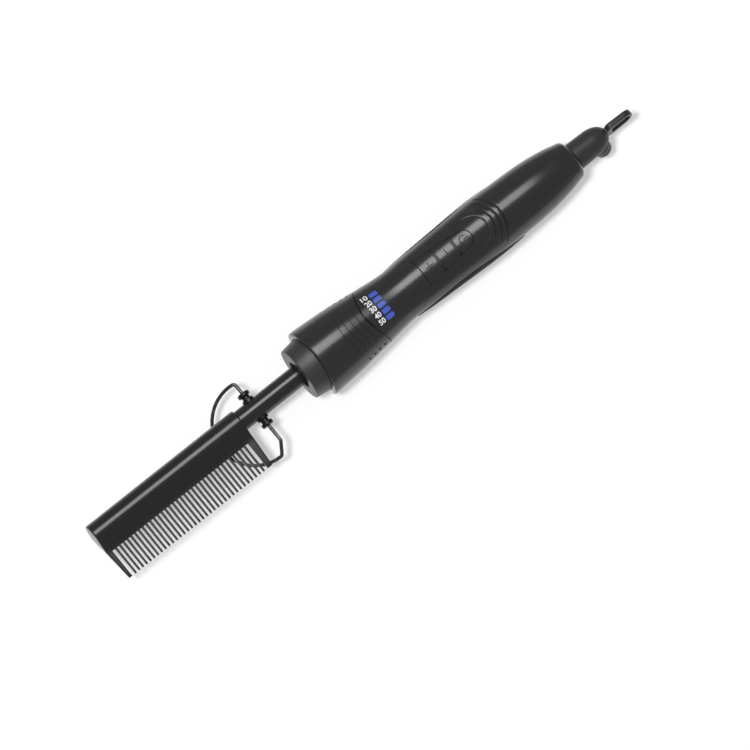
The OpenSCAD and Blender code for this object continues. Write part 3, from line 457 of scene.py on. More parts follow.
# One surface of stations along x and points round the section. The section is a teardrop that runs
# into the blade; at a tooth it goes on to the tooth's end, and at a gap it closes at the root.
def combHead():
    c = comb
    tipX, headEnd = -c["neck"] - c["length"], -c["neck"]
    reach, tip = c["bladeReach"] + c["toothLength"], c["tipRound"]
    root, halfBlade, halfEnd = c["bladeReach"], c["bladeThick"] / 2, c["endThick"] / 2
    lean = math.asin(c["spineR"] / math.hypot(root, halfBlade)) - math.atan2(halfBlade, root)
    arc = np.linspace(0, math.pi / 2 + lean, 30)
    spine = joined(c["spineR"] * np.cos(arc), c["spineR"] * np.sin(arc))
    blade = np.linspace(spine[-1], [-root + c["swellAhead"], halfBlade * c["swell"]], 8)[1:]
    # tooth face from the root to the end, then round the end to the middle
    face = np.linspace([-root, halfBlade], [-reach + tip, halfEnd], 9)
    quarter = np.linspace(0, math.pi / 2, 6)[1:]
    end = joined(-reach + tip - tip * np.sin(quarter), halfEnd * np.cos(quarter))
    # the gap's root: the same number of points, over a bevelled edge to the middle
    shut = np.linspace(0, 1, len(face) + len(end)) * math.pi / 2
    bevel = joined(-root - c["gapBevel"] * np.sin(shut), halfBlade * np.cos(shut))

    # Both sides of a section, from the points of one.
    def whole(*runs):
        half = np.concatenate(runs)
        return np.concatenate([half, half[-2:0:-1] * [1, -1]])
    tooth, gap = whole(spine, blade, face, end), whole(spine, blade, bevel)
    across, thick = tooth.T
    depth = np.clip((-across - root) / c["toothLength"], 0, 1)
    isTooth, isEnd, isSpine = across < -root + 0.05, across < -reach + 1, across > -3

    # The tooth's section drawn in by a distance, across its thickness and at the tooth's end.
    def shrunk(by):
        inset = joined(np.where(isEnd, np.maximum(across, -reach + by), across),
                       np.sign(thick) * np.maximum(np.abs(thick) - by, 0))
        return np.where(isTooth[:, None], inset, tooth)

    # The whole section drawn in, so that the end's edge is rounded all round.
    def allShrunk(by):
        size = np.maximum(1 - by / np.maximum(np.hypot(across, thick), 1e-6), 0)
        thin = np.maximum(np.abs(thick) - by * c["endInset"], c["leastHalf"])
        return joined(np.where(isSpine, across * size, np.maximum(across, -reach + by * c["endInset"])),
                      np.where(isSpine, thick * size, np.sign(thick) * thin))

    # A tooth's wall: the gap's section just outside it, then the tooth's over a softened edge.
    def wall(place, rootPlace, inward):
        rows = [(rootPlace - inward * c["wallLead"], gap)]
        for step, by in ((0.0, 1.0), (0.3, 0.3), (1.0, 0.0)):
            rows.append((place + inward * c["edgeRound"] * step, shrunk(c["edgeRound"] * by)))
        return rows

    # Stations that round the comb's end off, from a closed line to the full section.
    def endCap(x, inward):
        outer = x + inward * c["guardSlope"] * depth
        first = allShrunk(c["endBevel"])
        rows = [(outer, first * [1, 0]), (outer, first)]
        for a in np.linspace(0, math.pi / 2, 5)[1:]:
            rows.append((outer + inward * c["endBevel"] * (1 - math.cos(a)),
                         allShrunk(c["endBevel"] * (1 - math.sin(a)))))
        return rows

    span = c["length"] - c["tipGuard"] - c["rearGuard"]
    count = int(span / c["pitch"])
    firstX = tipX + c["tipGuard"] + (span - (count - 1) * c["pitch"]) / 2
    halfRoot, halfTip = c["rootWidth"] / 2, c["endWidth"] / 2
    tipGuard, rearGuard = tipX + c["tipGuard"], headEnd - c["rearGuard"]
    stations = endCap(tipX, 1) + wall(tipGuard, tipGuard, -1)[::-1]
    for k in range(count):
        x = firstX + k * c["pitch"]
        left, right = x - halfRoot, x + halfRoot
        stations += wall(left + (x - halfTip - left) * depth, left, 1)
        stations += wall(right + (x + halfTip - right) * depth, right, -1)[::-1]
    stations += wall(rearGuard, rearGuard, 1) + endCap(headEnd, -1)[::-1]
    points = np.array([joined(x, section[:, 0], section[:, 1]) for x, section in stations])
    # a small dark seat line where the tube enters
    bore, wide = c["boreR"], c["seatWide"]
    seat = np.array([
        (headEnd - 2, bore), (headEnd - 0.01, bore), (headEnd + 0.02, bore + wide),
        (headEnd - 0.1, bore + wide + 0.05), (headEnd - 2, bore + wide - 0.05), (headEnd - 2, bore)])
    return [sheetOf(points), sheetOf(lathe(seat))]


makePiece("combHead", combHead(), "combMetal", "handle", ["comb_head"])


stand = dict(
    hinge=-25.4, neckR=5.1, neckWall=0.5, neckTail=33.0, wireR=0.85, reach=23.5, arcR=19.6, shift=4.1,
    slantAhead=5.0, slantAngle=55.0, bendR=1.7, studR=1.95, flangeR=3.0, baseThick=0.9, barrel=1.5,
    headThick=2.0, pinDepth=3.3, faceGap=0.3, footDepth=0.9, holeDepth=1.2, holeGap=0.07, rimTaper=0.15,
)


# A plain tube with softly broken ends.
def neckTube():
    s = stand
    start, stop = -comb["neck"] - comb["boreDepth"], s["neckTail"]
    inner, outer = s["neckR"] - s["neckWall"], s["neckR"]
    ring = [(start, inner), (start, outer), (stop, outer), (stop, inner), (start, inner)]
    return [sheetOf(lathe(roundedLine(ring, [0.15] * 3, 3)))]


# A spool turned about y: a foot on the tube, a waist and a thick head, all with rounded rims.
def stud(side):
    s = stand
    foot, base = s["neckR"] - s["footDepth"], s["neckR"] + s["baseThick"]
    waist, top = base + s["barrel"], base + s["barrel"] + s["headThick"]
    floor, hole = top - s["holeDepth"], s["wireR"] + s["holeGap"]
    profile = roundedLine([
        (foot, 0), (foot, s["flangeR"]), (base, s["flangeR"] - s["rimTaper"]), (base, s["studR"]),
        (waist, s["studR"]), (waist, s["flangeR"]), (top, s["flangeR"]), (top, hole), (floor, hole),
        (floor, 0)],
        [0, 0.25, 0.25, 0.3, 0.45, 0.75, 0.15, 0])
    x, y, z = np.moveaxis(lathe(profile, 48), -1, 0)
    return sheetOf(joined(s["hinge"] + y, side * x, z))


# Points along straight lengths and bends in a plane. A step is (length, bend radius, turn); a
# straight is cut at each millimetre and a bend at each five degrees.
def bentLine(steps, start, heading):
    points, headings = [np.array(start, float)], [heading]
    for length, radius, turn in steps:
        cuts = max(1, int(length)) if length else 0
        for k in range(cuts):
            points.append(points[-1] + length / cuts * np.array([math.cos(heading), math.sin(heading)]))
            headings.append(heading)
        parts = max(1, int(abs(turn) / 5)) if turn else 0
        origin = points[-1] + radius * np.array([-math.sin(heading), math.cos(heading)])
        for k in range(1, parts + 1):
            now = heading + math.radians(turn) * k / parts
            points.append(origin + radius * np.array([math.sin(now), -math.cos(now)]))
            headings.append(now)
        heading += math.radians(turn)
    return np.array(points), np.array(headings)


# The wire's middle line: out of one stud, round the wide arc, along the slanting leg and into the
# other stud.
def standPath():
    s = stand
    bend, inside = s["bendR"], s["pinDepth"]
    studEnd = s["neckR"] + s["baseThick"] + s["barrel"] + s["headThick"]
    arcAhead = s["reach"] - s["arcR"]
    arcIn = math.asin((arcAhead - bend) / (s["arcR"] - bend))
    arcOut = math.asin((s["slantAhead"] - arcAhead) / s["arcR"])
    legOut = (s["arcR"] - bend) * math.cos(arcIn) - s["shift"] - studEnd
    slant = math.radians(s["slantAngle"])
    arcStop = arcAhead + s["arcR"] * math.sin(arcOut)
    slantStart = arcStop - bend * (math.sin(arcOut) - math.sin(math.pi + slant))
    slantLength = (slantStart - bend * (1 + math.sin(math.pi + slant))) / math.cos(slant)
    steps = [(legOut + inside, bend, 90 - math.degrees(arcIn)),
             (0, s["arcR"], 180 + math.degrees(arcIn - arcOut)),
             (0, bend, s["slantAngle"] + math.degrees(arcOut)),
             (slantLength, bend, 90 - s["slantAngle"])]
    points, headings = bentLine(steps, (0, -studEnd + inside), -math.pi / 2)
    last = points[-1][1] - studEnd + inside
    more, moreHeadings = bentLine([(last, 0, 0)], points[-1], headings[-1])
    cross = arcAhead + math.sqrt(s["arcR"] ** 2 - s["shift"] ** 2)
    fold = math.asin((comb["spineR"] + s["wireR"] + s["faceGap"]) / cross)
    return np.concatenate([points, more[1:]]), np.concatenate([headings, moreHeadings[1:]]), fold


# A round wire carried along its path, then leaned back behind the comb.
def standWire():
    s = stand
    points, headings, fold = standPath()
    angle = fullTurn(20)
    beside = joined(-np.sin(headings), np.cos(headings))
    plane = points[:, None] + (s["wireR"] * np.cos(angle))[:, None] * beside[:, None]
    tube = joined(plane[..., 0], plane[..., 1], s["wireR"] * np.sin(angle))
    ends = [np.repeat(tube[k].mean(0)[None, None], len(angle), 1) for k in (0, -1)]
    tube = np.concatenate([ends[0], tube, ends[1]])
    x, y, z = -tube[..., 0], -tube[..., 1], tube[..., 2]  # a half turn about z
    return [sheetOf(joined(s["hinge"] + x * math.cos(fold) - z * math.sin(fold), y,
                           x * math.sin(fold) + z * math.cos(fold)))]


makePiece("neckTube", neckTube(), "neckMetal", "handle", ["neck_tube"])
makePiece("standStuds", [stud(1), stud(-1)], "studMetal", "handle", ["stand_studs"])
makePiece("standWire", standWire(), "wireMetal", "stand", ["stand_wire"])


nose = dict(frontR=13.0, backR=14.3, length=8.55, holeR=7.0, holeDepth=4.0, depth=16.0, bushR=9.03)
# The collar's grooves and pits get a share of painted shade as well as depth.
collar = dict(
    rearX=41.9, bow=5.4, boreR=12.4, faceX=8.7, faceR=17.05, faceBow=1.3, faceLong=2, noseGap=0.1,
    ringGap=0.08, grooves=4, firstGroove=3.0, groovePitch=3.2, grooveWide=0.45, grooveDeep=0.2, groovePaintedShade=0.45,
    farShare=0.3, pitAngle=71.0, pitWide=0.7, pitDeep=0.8, seam=0.3, rimLong=0.25, rimDeep=0.2,
    rearR=14.6, rearInnerR=12.85,
)


# A short cone with a flat face round the neck, and a sleeve that reaches into the handle.
def noseRing():
    n = nose
    sleeve = handle["innerNeckR"] - 0.03
    profile = roundedLine([
        (n["holeDepth"], n["holeR"]), (0, n["holeR"]), (0, n["frontR"]), (n["length"], n["backR"]),
        (n["length"], handle["underCollarR"]), (handle["shellFront"], handle["underCollarR"]),
        (handle["shellFront"], sleeve), (n["depth"], sleeve), (n["depth"], n["bushR"]),
        (n["holeDepth"], n["bushR"]), (n["holeDepth"], n["holeR"])],
        [0.25, 0.35, 0.12, 0, 0, 0, 0, 0, 0], 5)
    return [sheetOf(lathe(profile, 160))]


# Where the bowed rear line crosses the handle at an angle from the top: a circle seen from the side.
def bowedEdge(angle, radius, x):
    half = handleRadius(collar["rearX"] - collar["bow"])
    bowR = (half ** 2 + collar["bow"] ** 2) / (2 * collar["bow"])
    z = radius * np.cos(angle)
    return x - bowR + np.sqrt(bowR ** 2 - z ** 2)


# Rings from the nose to the bowed rear edge and back along the bore. Rings near the rear follow the
# bow, so that the grooves do too; each groove ends in a small pit on both sides. The grooves and the pits are
# darkened with painted shade, the pits fully.
def collarPiece():
    c = collar
    angle = fullTurn(360)
    startX, noseEnd = handle["frontX"] + c["faceLong"], nose["length"] + c["noseGap"]
    seatR = nose["backR"] + c["ringGap"]
    front = roundedLine([
        (noseEnd, c["boreR"]), (noseEnd, seatR), (c["faceX"], seatR), (c["faceX"], c["faceR"]),
        (handle["frontX"], handle["frontR"]), (startX, handleRadius(startX))], [0, 0.04, 0.35, 0.8], 5)
    rings = []
    for x, r in front:
        ahead = c["faceBow"] * np.sin(angle) ** 2 * max(1 - (x - c["faceX"]) / (startX - c["faceX"]), 0)
        rings.append(joined(x - ahead * (r > nose["backR"] + 0.01), r, 0))
    # how far the rings are ahead of the rear edge: coarse up to the first groove, then fine
    grooved = c["firstGroove"] + c["grooves"] * c["groovePitch"]
    offsets = np.concatenate([np.arange(grooved, 0.3, -0.11), [0.25, 0.18, 0.1, 0.04, 0.0]])
    rear = bowedEdge(angle, c["rearR"], c["rearX"])
    for t in np.linspace(0, 1, 12)[1:]:
        x = startX * (1 - t) + t * (rear - grooved - 0.1)
        rings.append(joined(x, handleRadius(x), 0))
    side = np.degrees(angle)
    # the grooves are shallower and get less painted shade on the +y side, down to farShare
    share = c["farShare"] + (1 - c["farShare"]) * smoothStep(0.45, 0.05, np.sin(angle))
    fromSide, pitFrom = np.minimum(np.abs(side - 90), np.abs(side - 270)), 90 - c["pitAngle"]
    keep = smoothStep(pitFrom - 1, pitFrom + 3, fromSide)
    for offset in offsets:
        x = rear - offset
        r, paintedShade = handleRadius(x), 0 * x
        for k in range(c["grooves"]):
            away = np.abs(offset - c["firstGroove"] - k * c["groovePitch"])
            groove = np.clip(1 - (away / (c["grooveWide"] / 2)) ** 2, 0, 1) ** 0.7
            pitAcross = (fromSide - pitFrom) * math.radians(1) * r
            pit = np.clip(1 - (pitAcross ** 2 + away ** 2) / c["pitWide"] ** 2, 0, 1) ** 0.6
            # the groove and the pit lower the radius, and their share of painted shade is kept
            r = r - np.maximum(c["grooveDeep"] * share * groove * keep, c["pitDeep"] * pit)
            paintedShade = np.maximum(paintedShade, np.maximum(c["groovePaintedShade"] * share * groove * keep, pit))
        edge = np.clip(1 - offset / c["rimLong"], 0, 1)
        r = r - c["rimDeep"] * (1 - np.sqrt(1 - edge ** 2))
        rings.append(joined(x, r, paintedShade))
    rear = rings[-1][:, 0]
    for r in np.linspace(c["rearInnerR"], c["boreR"], 3):
        rings.append(joined(rear, np.minimum(r, rings[-1][:, 1]), 0))
    rings.append(joined(noseEnd + 0 * angle, c["boreR"], 0))
    x, r, paintedShade = np.moveaxis(np.array(rings), -1, 0)
    return [sheetOf(aroundAxis(x, r, angle), paintedShade=paintedShade)]


makePiece("noseRing", noseRing(), "nosePlastic", "handle", ["nose_ring"])
makePiece("frontCollar", collarPiece(), "shellPlastic", "handle", ["front_collar"])


# The caps' engraved signs and their sills get shares of painted shade.
buttons = dict(
    frontX=70.6, length=28.4, frontHalf=6.7, rearHalf=4.2, groove=1.0, gap=0.2, proud=0.3, thick=2.6,
    edgeRound=0.3, cornerRound=0.5, sillDeep=0.5, sillThick=0.8, sillGap=0.05, sillInset=0.1, signDeep=0.11,
    signHalf=0.15, signReach=1.9, ringR=1.9, ringGap=32, signPaintedShade=0.55, sillPaintedShade=0.5,
)
windows = dict(
    x=47.2, length=4.3, wide=2.45, pitch=13.6, count=5, corner=0.75, gap=0.08, proud=0.12, thick=1.4,
    layR=14.0, edgeRound=0.22,
)
# The outline round the buttons gets a share of painted shade along its line, and the arcs a full one.
lines = dict(
    endX=100.0, endR=7.75, midX=89.0, midHalf=8.4, frontX=70.6, frontHalf=9.2, flareX=57.0, flareHalf=11.6,
    wide=0.5, deep=0.28, bed=0.03, straight=0.2, rounded=0.65, dark=0.9, arcRadii=(10.7, 13.4, 16.1),
    arcHalfAngles=(61, 55, 50), arcWide=0.7, arcDeep=0.45,
)
grips = dict(
    x=89.6, length=61.0, height=10.4, blunt=0.4, proud=0.15, deep=0.9, gap=0.03, rimShare=0.93, rimRound=0.3,
    bedFrom=50,
)
screws = dict(places=(116.0, 133.0), wellR=2.6, floorZ=6.7)


def rowCentre():
    return buttons["frontX"] + buttons["length"] - buttons["rearHalf"]


# Half width of the row of buttons: it tapers up to the middle of its round rear end.
def rowHalf(x):
    b = buttons
    along = np.clip((x - b["frontX"]) / (rowCentre() - b["frontX"]), 0, 1)
    return b["frontHalf"] + (b["rearHalf"] - b["frontHalf"]) * along


# Signed distance outside the row of buttons: a tapered bar with a round rear end.
def rowOutside(x, y):
    b, centre = buttons, rowCentre()
    slope = math.atan((b["frontHalf"] - b["rearHalf"]) / (centre - b["frontX"]))
    bar = np.maximum((np.abs(y) - rowHalf(x)) * math.cos(slope), b["frontX"] - x)
    return np.where(x > centre, np.hypot(x - centre, y) - b["rearHalf"], bar)


# Signed distance outside a rounded window, centred at 0; s runs round the handle in millimetres.
def windowOutside(x, s):
    w = windows
    dx = np.abs(x - w["x"]) - w["length"] / 2 + w["corner"]
    ds = np.abs(s) - w["wide"] / 2 + w["corner"]
    return np.hypot(np.maximum(dx, 0), np.maximum(ds, 0)) + np.minimum(np.maximum(dx, ds), 0) - w["corner"]


# Half width of the long outline round the buttons: smooth, and flared towards the nose.
def outlineHalf(x):
    k = lines
    px = np.array([k["flareX"], k["frontX"], k["midX"], k["endX"]])
    pw = np.array([k["flareHalf"], k["frontHalf"], k["midHalf"], k["endR"]])
    return np.interp(x, px, pw)


# How far the upper skin is lowered or raised, and its share of painted shade: a fine line round the buttons, its
# depth and painted shade falling off as a bell from its middle, and three arcs whose ends taper, darkened with
# painted shade in full.
def skinRelief(x, y):
    k = lines
    reach = np.hypot(x - k["endX"], y)
    outline = np.where(x > k["endX"], reach - k["endR"], np.abs(y) - outlineHalf(x))
    strength = (k["straight"] * smoothStep(k["flareX"] + 1, k["frontX"] + 6, x)
                + k["rounded"] * smoothStep(k["endX"] - 4, k["endX"] + 3, x))
    line = strength * np.exp(-(outline / (k["wide"] / 2)) ** 2)
    raised = smoothStep(0.25, -0.1, outline) * smoothStep(k["flareX"], k["frontX"], x)
    relief, paintedShade = -k["deep"] * line - k["bed"] * raised, k["dark"] * line
    bearing = np.degrees(np.arctan2(np.abs(y), x - k["endX"]))
    for radius, halfAngle in zip(k["arcRadii"], k["arcHalfAngles"]):
        taper = np.clip(1 - (bearing / halfAngle) ** 6, 0, 1)
        wide = k["arcWide"] / 2 * (0.55 + 0.45 * taper)
        arc = taper ** 0.5 * np.exp(-((reach - radius) / wide) ** 4)
        relief, paintedShade = relief - k["arcDeep"] * arc, np.maximum(paintedShade, arc)
    return relief, paintedShade


# Signed distance outside a grip's long oval with blunt ends, seen from the side.
def gripOutside(x, z):
    g = grips
    half, rise = g["length"] / 2, g["height"] / 2
    r = ((half + g["blunt"]) ** 2 + rise ** 2) / (2 * rise)
    away = np.hypot(x - g["x"], np.abs(z) + r - rise) - r
    return np.maximum(away, np.abs(x - g["x"]) - half)


# Points near an outline are moved onto it, and the next ones inside onto a line just within it.
def snapped(x, y, outside, cell, run):
    d = outside(x, y)
    step = 1e-3
    gx = (outside(x + step, y) - outside(x - step, y)) / (2 * step)
    gy = (outside(x, y + step) - outside(x, y - step)) / (2 * step)
    size = np.maximum(np.hypot(gx, gy), 1e-6)
    gx, gy = gx / size, gy / size
    target = np.where(np.abs(d) <= cell / 2, 0.0, np.where((d < -cell / 2) & (d >= -1.5 * cell), -run, d))
    return x - gx * (d - target), y - gy * (d - target)


# Stations from (start, step) pairs, each going on to the next start.
def spacing(cuts):
    runs = [np.arange(a, b - step * 0.3, step) for (a, step), (b, _) in zip(cuts, cuts[1:])]
    return np.concatenate(runs + [[cuts[-1][0]]])


# Each half's stations, where they turn straight, and how finely and how far round its skin is cut.
shell = dict(
    upper=dict(cuts=((44.0, 0.4), (44.8, 0.26), (50.6, 0.7), (58.4, 0.35), (69.8, 0.26), (100.6, 0.28),
                     (117.4, 1.1), (handle["tailX"], 1)), straightX=44.9, fine=58, cell=0.26, flank=16),
    lower=dict(cuts=((44.0, 1.0), (58.0, 0.7), (112.4, 0.3), (136.8, 1.1), (handle["tailX"], 1)),
               straightX=46.0, fine=20, cell=0.3, flank=40),
    run=0.05, middleR=13.5, seamR=14.2, neckEnd=44.0, bedEdge=(-0.55, -1.0), wallTurn=(45, 75),
)


# One closed surface: the outer skin, the split faces and the inner wall, as rings of a half tube.
# Holes for the buttons and windows are faces left out where skin and inner wall are drawn together.
def shellHalf(upper):
    h, s, w = handle, shell["upper" if upper else "lower"], windows
    cell, run = s["cell"], shell["run"]
    fine = np.radians(s["fine"])
    middle = np.linspace(-fine, fine, int(2 * fine * shell["middleR"] / cell) | 1)
    flank = np.linspace(-math.pi / 2, -fine, s["flank"])[:-1]
    angle = np.concatenate([flank, middle, -flank[::-1]])
    # rows that start at the bowed front edge, then straight ones
    seamX = bowedEdge(angle, shell["seamR"], collar["rearX"] + collar["seam"])
    lead = np.linspace(0, 1, 8)[:-1, None]
    stations = spacing(s["cuts"])
    straight = stations[stations >= s["straightX"], None] + 0 * angle
    x = np.concatenate([seamX + (s["straightX"] - seamX) * lead, straight])
    phi = angle + 0 * x
    radius = handleRadius(x)
    y = radius * np.sin(phi)
    hole = np.zeros(x.shape, bool)
    if upper:
        x, y = snapped(x, y, lambda a, b: rowOutside(a, b) - buttons["gap"], cell, run)
        hole |= rowOutside(x, y) - buttons["gap"] < -run / 2
        phi = np.arcsin(np.clip(y / handleRadius(x), -1, 1))
        for k in range(w["count"]):
            turn = math.radians((k - (w["count"] - 1) / 2) * w["pitch"])
            edge = lambda a, b: windowOutside(a, b - turn * w["layR"]) - w["gap"]
            x, around = snapped(x, phi * w["layR"], edge, cell, run)
            phi = around / w["layR"]
            hole |= edge(x, around) < -run / 2
        radius = handleRadius(x)
        relief, paintedShade = skinRelief(x, radius * np.sin(phi))
        skin = radius + relief
    else:
        for place in screws["places"]:
            x, y = snapped(x, y, lambda a, b: np.hypot(a - place, b) - screws["wellR"], cell, run)
        radius = handleRadius(x)
        phi = np.arcsin(np.clip(y / radius, -1, 1))
        skin, paintedShade = radius, 0 * x
    # the grips' beds, on both sides, which start inside the grips' rims
    bed = smoothStep(*shell["bedEdge"], gripOutside(x, radius * np.cos(phi)))
    skin = skin - (grips["deep"] + grips["gap"]) * (bed * (np.abs(np.degrees(phi)) > grips["bedFrom"]))
    endX, innerEnd = h["tailX"] + h["endRound"], h["tailX"] + h["endRound"] - h["endWall"]
    innerX = np.minimum(x, innerEnd)
    innerR = np.where(x < shell["neckEnd"], h["innerNeckR"], handleRadius(innerX) - h["wall"])
    if upper:
        # the hole's wall goes straight down near the top and follows the radius at the sides
        share = smoothStep(*np.radians(shell["wallTurn"]), np.abs(phi))
        innerY = radius * np.sin(phi) * (1 - share) + innerR * np.sin(phi) * share
        innerY = np.clip(innerY, -innerR, innerR)
        innerZ = np.sqrt(np.maximum(innerR ** 2 - innerY ** 2, 0))
    else:
        for place in screws["places"]:
            inWell = np.hypot(x - place, y) - screws["wellR"] < -run / 2
            skin = np.where(inWell, np.hypot(y, screws["floorZ"]), skin)
        innerY, innerZ = innerR * np.sin(phi), innerR * np.cos(phi)
    outerY = np.where(hole, innerY, skin * np.sin(phi))
    outerZ = np.where(hole, innerZ, skin * np.cos(phi))

    # Rings of the skin and the inner wall, from rows of (x, skin's radius, wall's radius, wall's x).
    def bothWalls(rows):
        return [np.array([aroundAxis(row[i], row[k], angle) for row in rows]) for i, k in ((0, 1), (3, 2))]
    # front: the neck under the collar, then the step at the seam
    frontX, outR, inR, edgeR = h["shellFront"], h["underCollarR"], h["innerNeckR"], handleRadius(seamX)
    frontOuter, frontInner = bothWalls([
        (frontX, (outR + inR) / 2, (outR + inR) / 2, frontX), (frontX, outR, inR, frontX),
        (seamX, outR, inR, seamX - 1.5), (seamX, edgeR - 0.22, inR, seamX - 1.0),
        (seamX + 0.06, edgeR - 0.06, inR, seamX - 0.5)])
    # tail: the rounded end and the wall that the swivel's shaft goes through
    bore, lastInner = h["shaftHoleR"], handleRadius(innerEnd) - h["wall"]
    tailOuter, tailInner = bothWalls([
        *[(h["tailX"] + h["endRound"] * math.sin(a), h["endR"] + (h["tailR"] - h["endR"]) * math.cos(a),
           bore + (lastInner - bore) * math.cos(a), innerEnd) for a in np.radians([20, 40, 60, 75, 90])],
        (endX, bore + 0.3, bore, innerEnd + 0.5), (endX, bore, bore, innerEnd + 1),
        (endX - 1, bore, bore, endX - 1)])
    outer = np.concatenate([frontOuter, joined(x, outerY, outerZ), tailOuter])
    inner = np.concatenate([frontInner, joined(innerX, innerY, innerZ), tailInner])
    whole = np.concatenate([outer, inner[:, ::-1]], 1) * [1, 1, 1 if upper else -1]
    ends = (len(frontOuter), len(tailOuter))
    mask = np.pad(hole, (ends, (0, 0)))
    return [sheetOf(whole, dropped=np.concatenate([mask, mask[:, ::-1]], 1),
                    paintedShade=np.pad(paintedShade, (ends, (0, len(angle)))))]


makePiece("upperShell", shellHalf(True), "shellPlastic", "handle", ["upper_shell"], sharp=30)
makePiece("lowerShell", shellHalf(False), "shellPlastic", "handle", ["lower_shell"], sharp=30)


# A closed body over a closed outline. Rings run from the centre out to the outline, drawn in by the
# edge's radius, then round the edge, down the wall and back in along the floor. height and floor give
# the top and bottom at a point of the plan; relief is added to the top.
def pillow(outline, height, floor, edge, rings, relief=None, centre=None):
    centre = outline.mean(0) if centre is None else np.array(centre, float)
    along = np.roll(outline, -1, 0) - np.roll(outline, 1, 0)
    along = along / np.maximum(np.linalg.norm(along, axis=1)[:, None], 1e-9)
    inward = joined(-along[:, 1], along[:, 0])
    inward = inward * np.sign(((centre - outline) * inward).sum(1))[:, None]
    inner = outline + inward * edge
    plan = [centre + (inner - centre) * t for t in np.linspace(0, 1, rings)]
    drop = [0.0] * rings
    for a in np.linspace(0, math.pi / 2, 6)[1:]:
        plan.append(outline + inward * edge * (1 - math.sin(a)))
        drop.append(edge * (1 - math.cos(a)))
    plan = np.array(plan)
    level = height(plan[..., 0], plan[..., 1]) - np.array(drop)[:, None]
    if relief:
        level[:rings] += relief(plan[..., 0], plan[..., 1])[:rings]
    under = np.array([outline, centre + 0 * outline])
    plan = np.concatenate([plan, under])
    return plan[..., 0], plan[..., 1], np.concatenate([level, floor(under[..., 0], under[..., 1])])


# Distance outside a bar with round ends, from a to b.
def barDistance(x, y, a, b, half):
    a, b = np.array(a, float), np.array(b, float)
    d = b - a
    t = np.clip(((x - a[0]) * d[0] + (y - a[1]) * d[1]) / (d @ d), 0, 1)
    return np.hypot(x - a[0] - t * d[0], y - a[1] - t * d[1]) - half


# Distance outside a button's engraved sign: a plus, a minus or a ring with a gap and a bar.
def signOn(kind, cx):
    half, reach = buttons["signHalf"], buttons["signReach"]

    def plus(x, y):
        return np.minimum(barDistance(x, y, (cx - reach, 0), (cx + reach, 0), half),
                          barDistance(x, y, (cx, -reach), (cx, reach), half))

    def minus(x, y):
        return barDistance(x, y, (cx, -reach), (cx, reach), half)
    def power(x, y):
        ring = np.abs(np.hypot(x - cx, y) - buttons["ringR"]) - half
        bearing = np.abs(np.degrees(np.arctan2(y, x - cx)))
        ring = np.where(bearing < buttons["ringGap"], 1.0, ring)
        return np.minimum(ring, barDistance(x, y, (cx + 0.4, 0), (cx + buttons["ringR"] + 0.4, 0), half))
    return dict(plus=plus, minus=minus, power=power)[kind]


# A cap that fills its share of the row, proud of the handle, with rounded edges and an engraved sign darkened
# with painted shade.
# A sill below its top reaches halfway into the grooves beside it, darkened with painted shade too.
def buttonCap(index, kind):
    b, centre = buttons, rowCentre()
    capLength = (b["length"] - 2 * b["groove"]) / 3
    front = b["frontX"] + index * (capLength + b["groove"])
    rear = front + capLength
    corners, rounds = barCorners(front, rowHalf(front), rear, rowHalf(rear)), [b["cornerRound"]] * 4
    if index == 2:
        bow = [(centre + b["rearHalf"] * math.sin(a), -b["rearHalf"] * math.cos(a))
               for a in np.linspace(0.05, math.pi - 0.05, 30)]
        corners[1:3], rounds[1:3] = bow, [0] * 30
    middle = (front + rear) / 2
    sign = signOn(kind, middle)
    engraved = lambda x, y: smoothStep(0.1, -0.05, sign(x, y))
    top = lambda x, y: np.sqrt((handleRadius(x) + b["proud"]) ** 2 - y ** 2)
    x, y, z = pillow(smoothLoop(corners, rounds, 0.12), top, lambda x, y: top(x, y) - b["thick"],
                     b["edgeRound"], 64, lambda x, y: -b["signDeep"] * engraved(x, y), (middle, 0))
    # the engraved sign's share of painted shade, on the top only
    paintedShade = b["signPaintedShade"] * engraved(x, y) * (z > top(x, y) - 1)
    step = b["groove"] / 2 - b["sillGap"]
    low, high = front - (step if index > 0 else -0.3), rear + (step if index < 2 else -2.5)
    sill = barCorners(low, rowHalf(low) - b["sillInset"], high, rowHalf(high) - b["sillInset"])
    sx, sy, sz = pillow(smoothLoop(sill, [0.2] * 4, 0.3), lambda x, y: top(x, y) - b["sillDeep"],
                        lambda x, y: top(x, y) - b["sillDeep"] - b["sillThick"], 0.05, 12)
    # the sill gets an even share of painted shade
    return [sheetOf(joined(x, y, z), paintedShade=paintedShade), sheetOf(joined(sx, sy, sz), paintedShade=b["sillPaintedShade"] + 0 * sx)]


# Five rounded lenses, each slightly crowned, side by side round the handle.
def windowLenses():
    w = windows
    halfX, halfS = w["length"] / 2, w["wide"] / 2
    outline = smoothLoop(barCorners(w["x"] - halfX, halfS, w["x"] + halfX, halfS), [w["corner"]] * 4, 0.12)
    x, s, r = pillow(outline, lambda x, s: handleRadius(x) + w["proud"],
                     lambda x, s: handleRadius(x) - w["thick"], w["edgeRound"], 10)
    turns = [math.radians((k - (w["count"] - 1) / 2) * w["pitch"]) for k in range(w["count"])]
    return [sheetOf(aroundAxis(x, r, s / w["layR"] + turn)) for turn in turns]


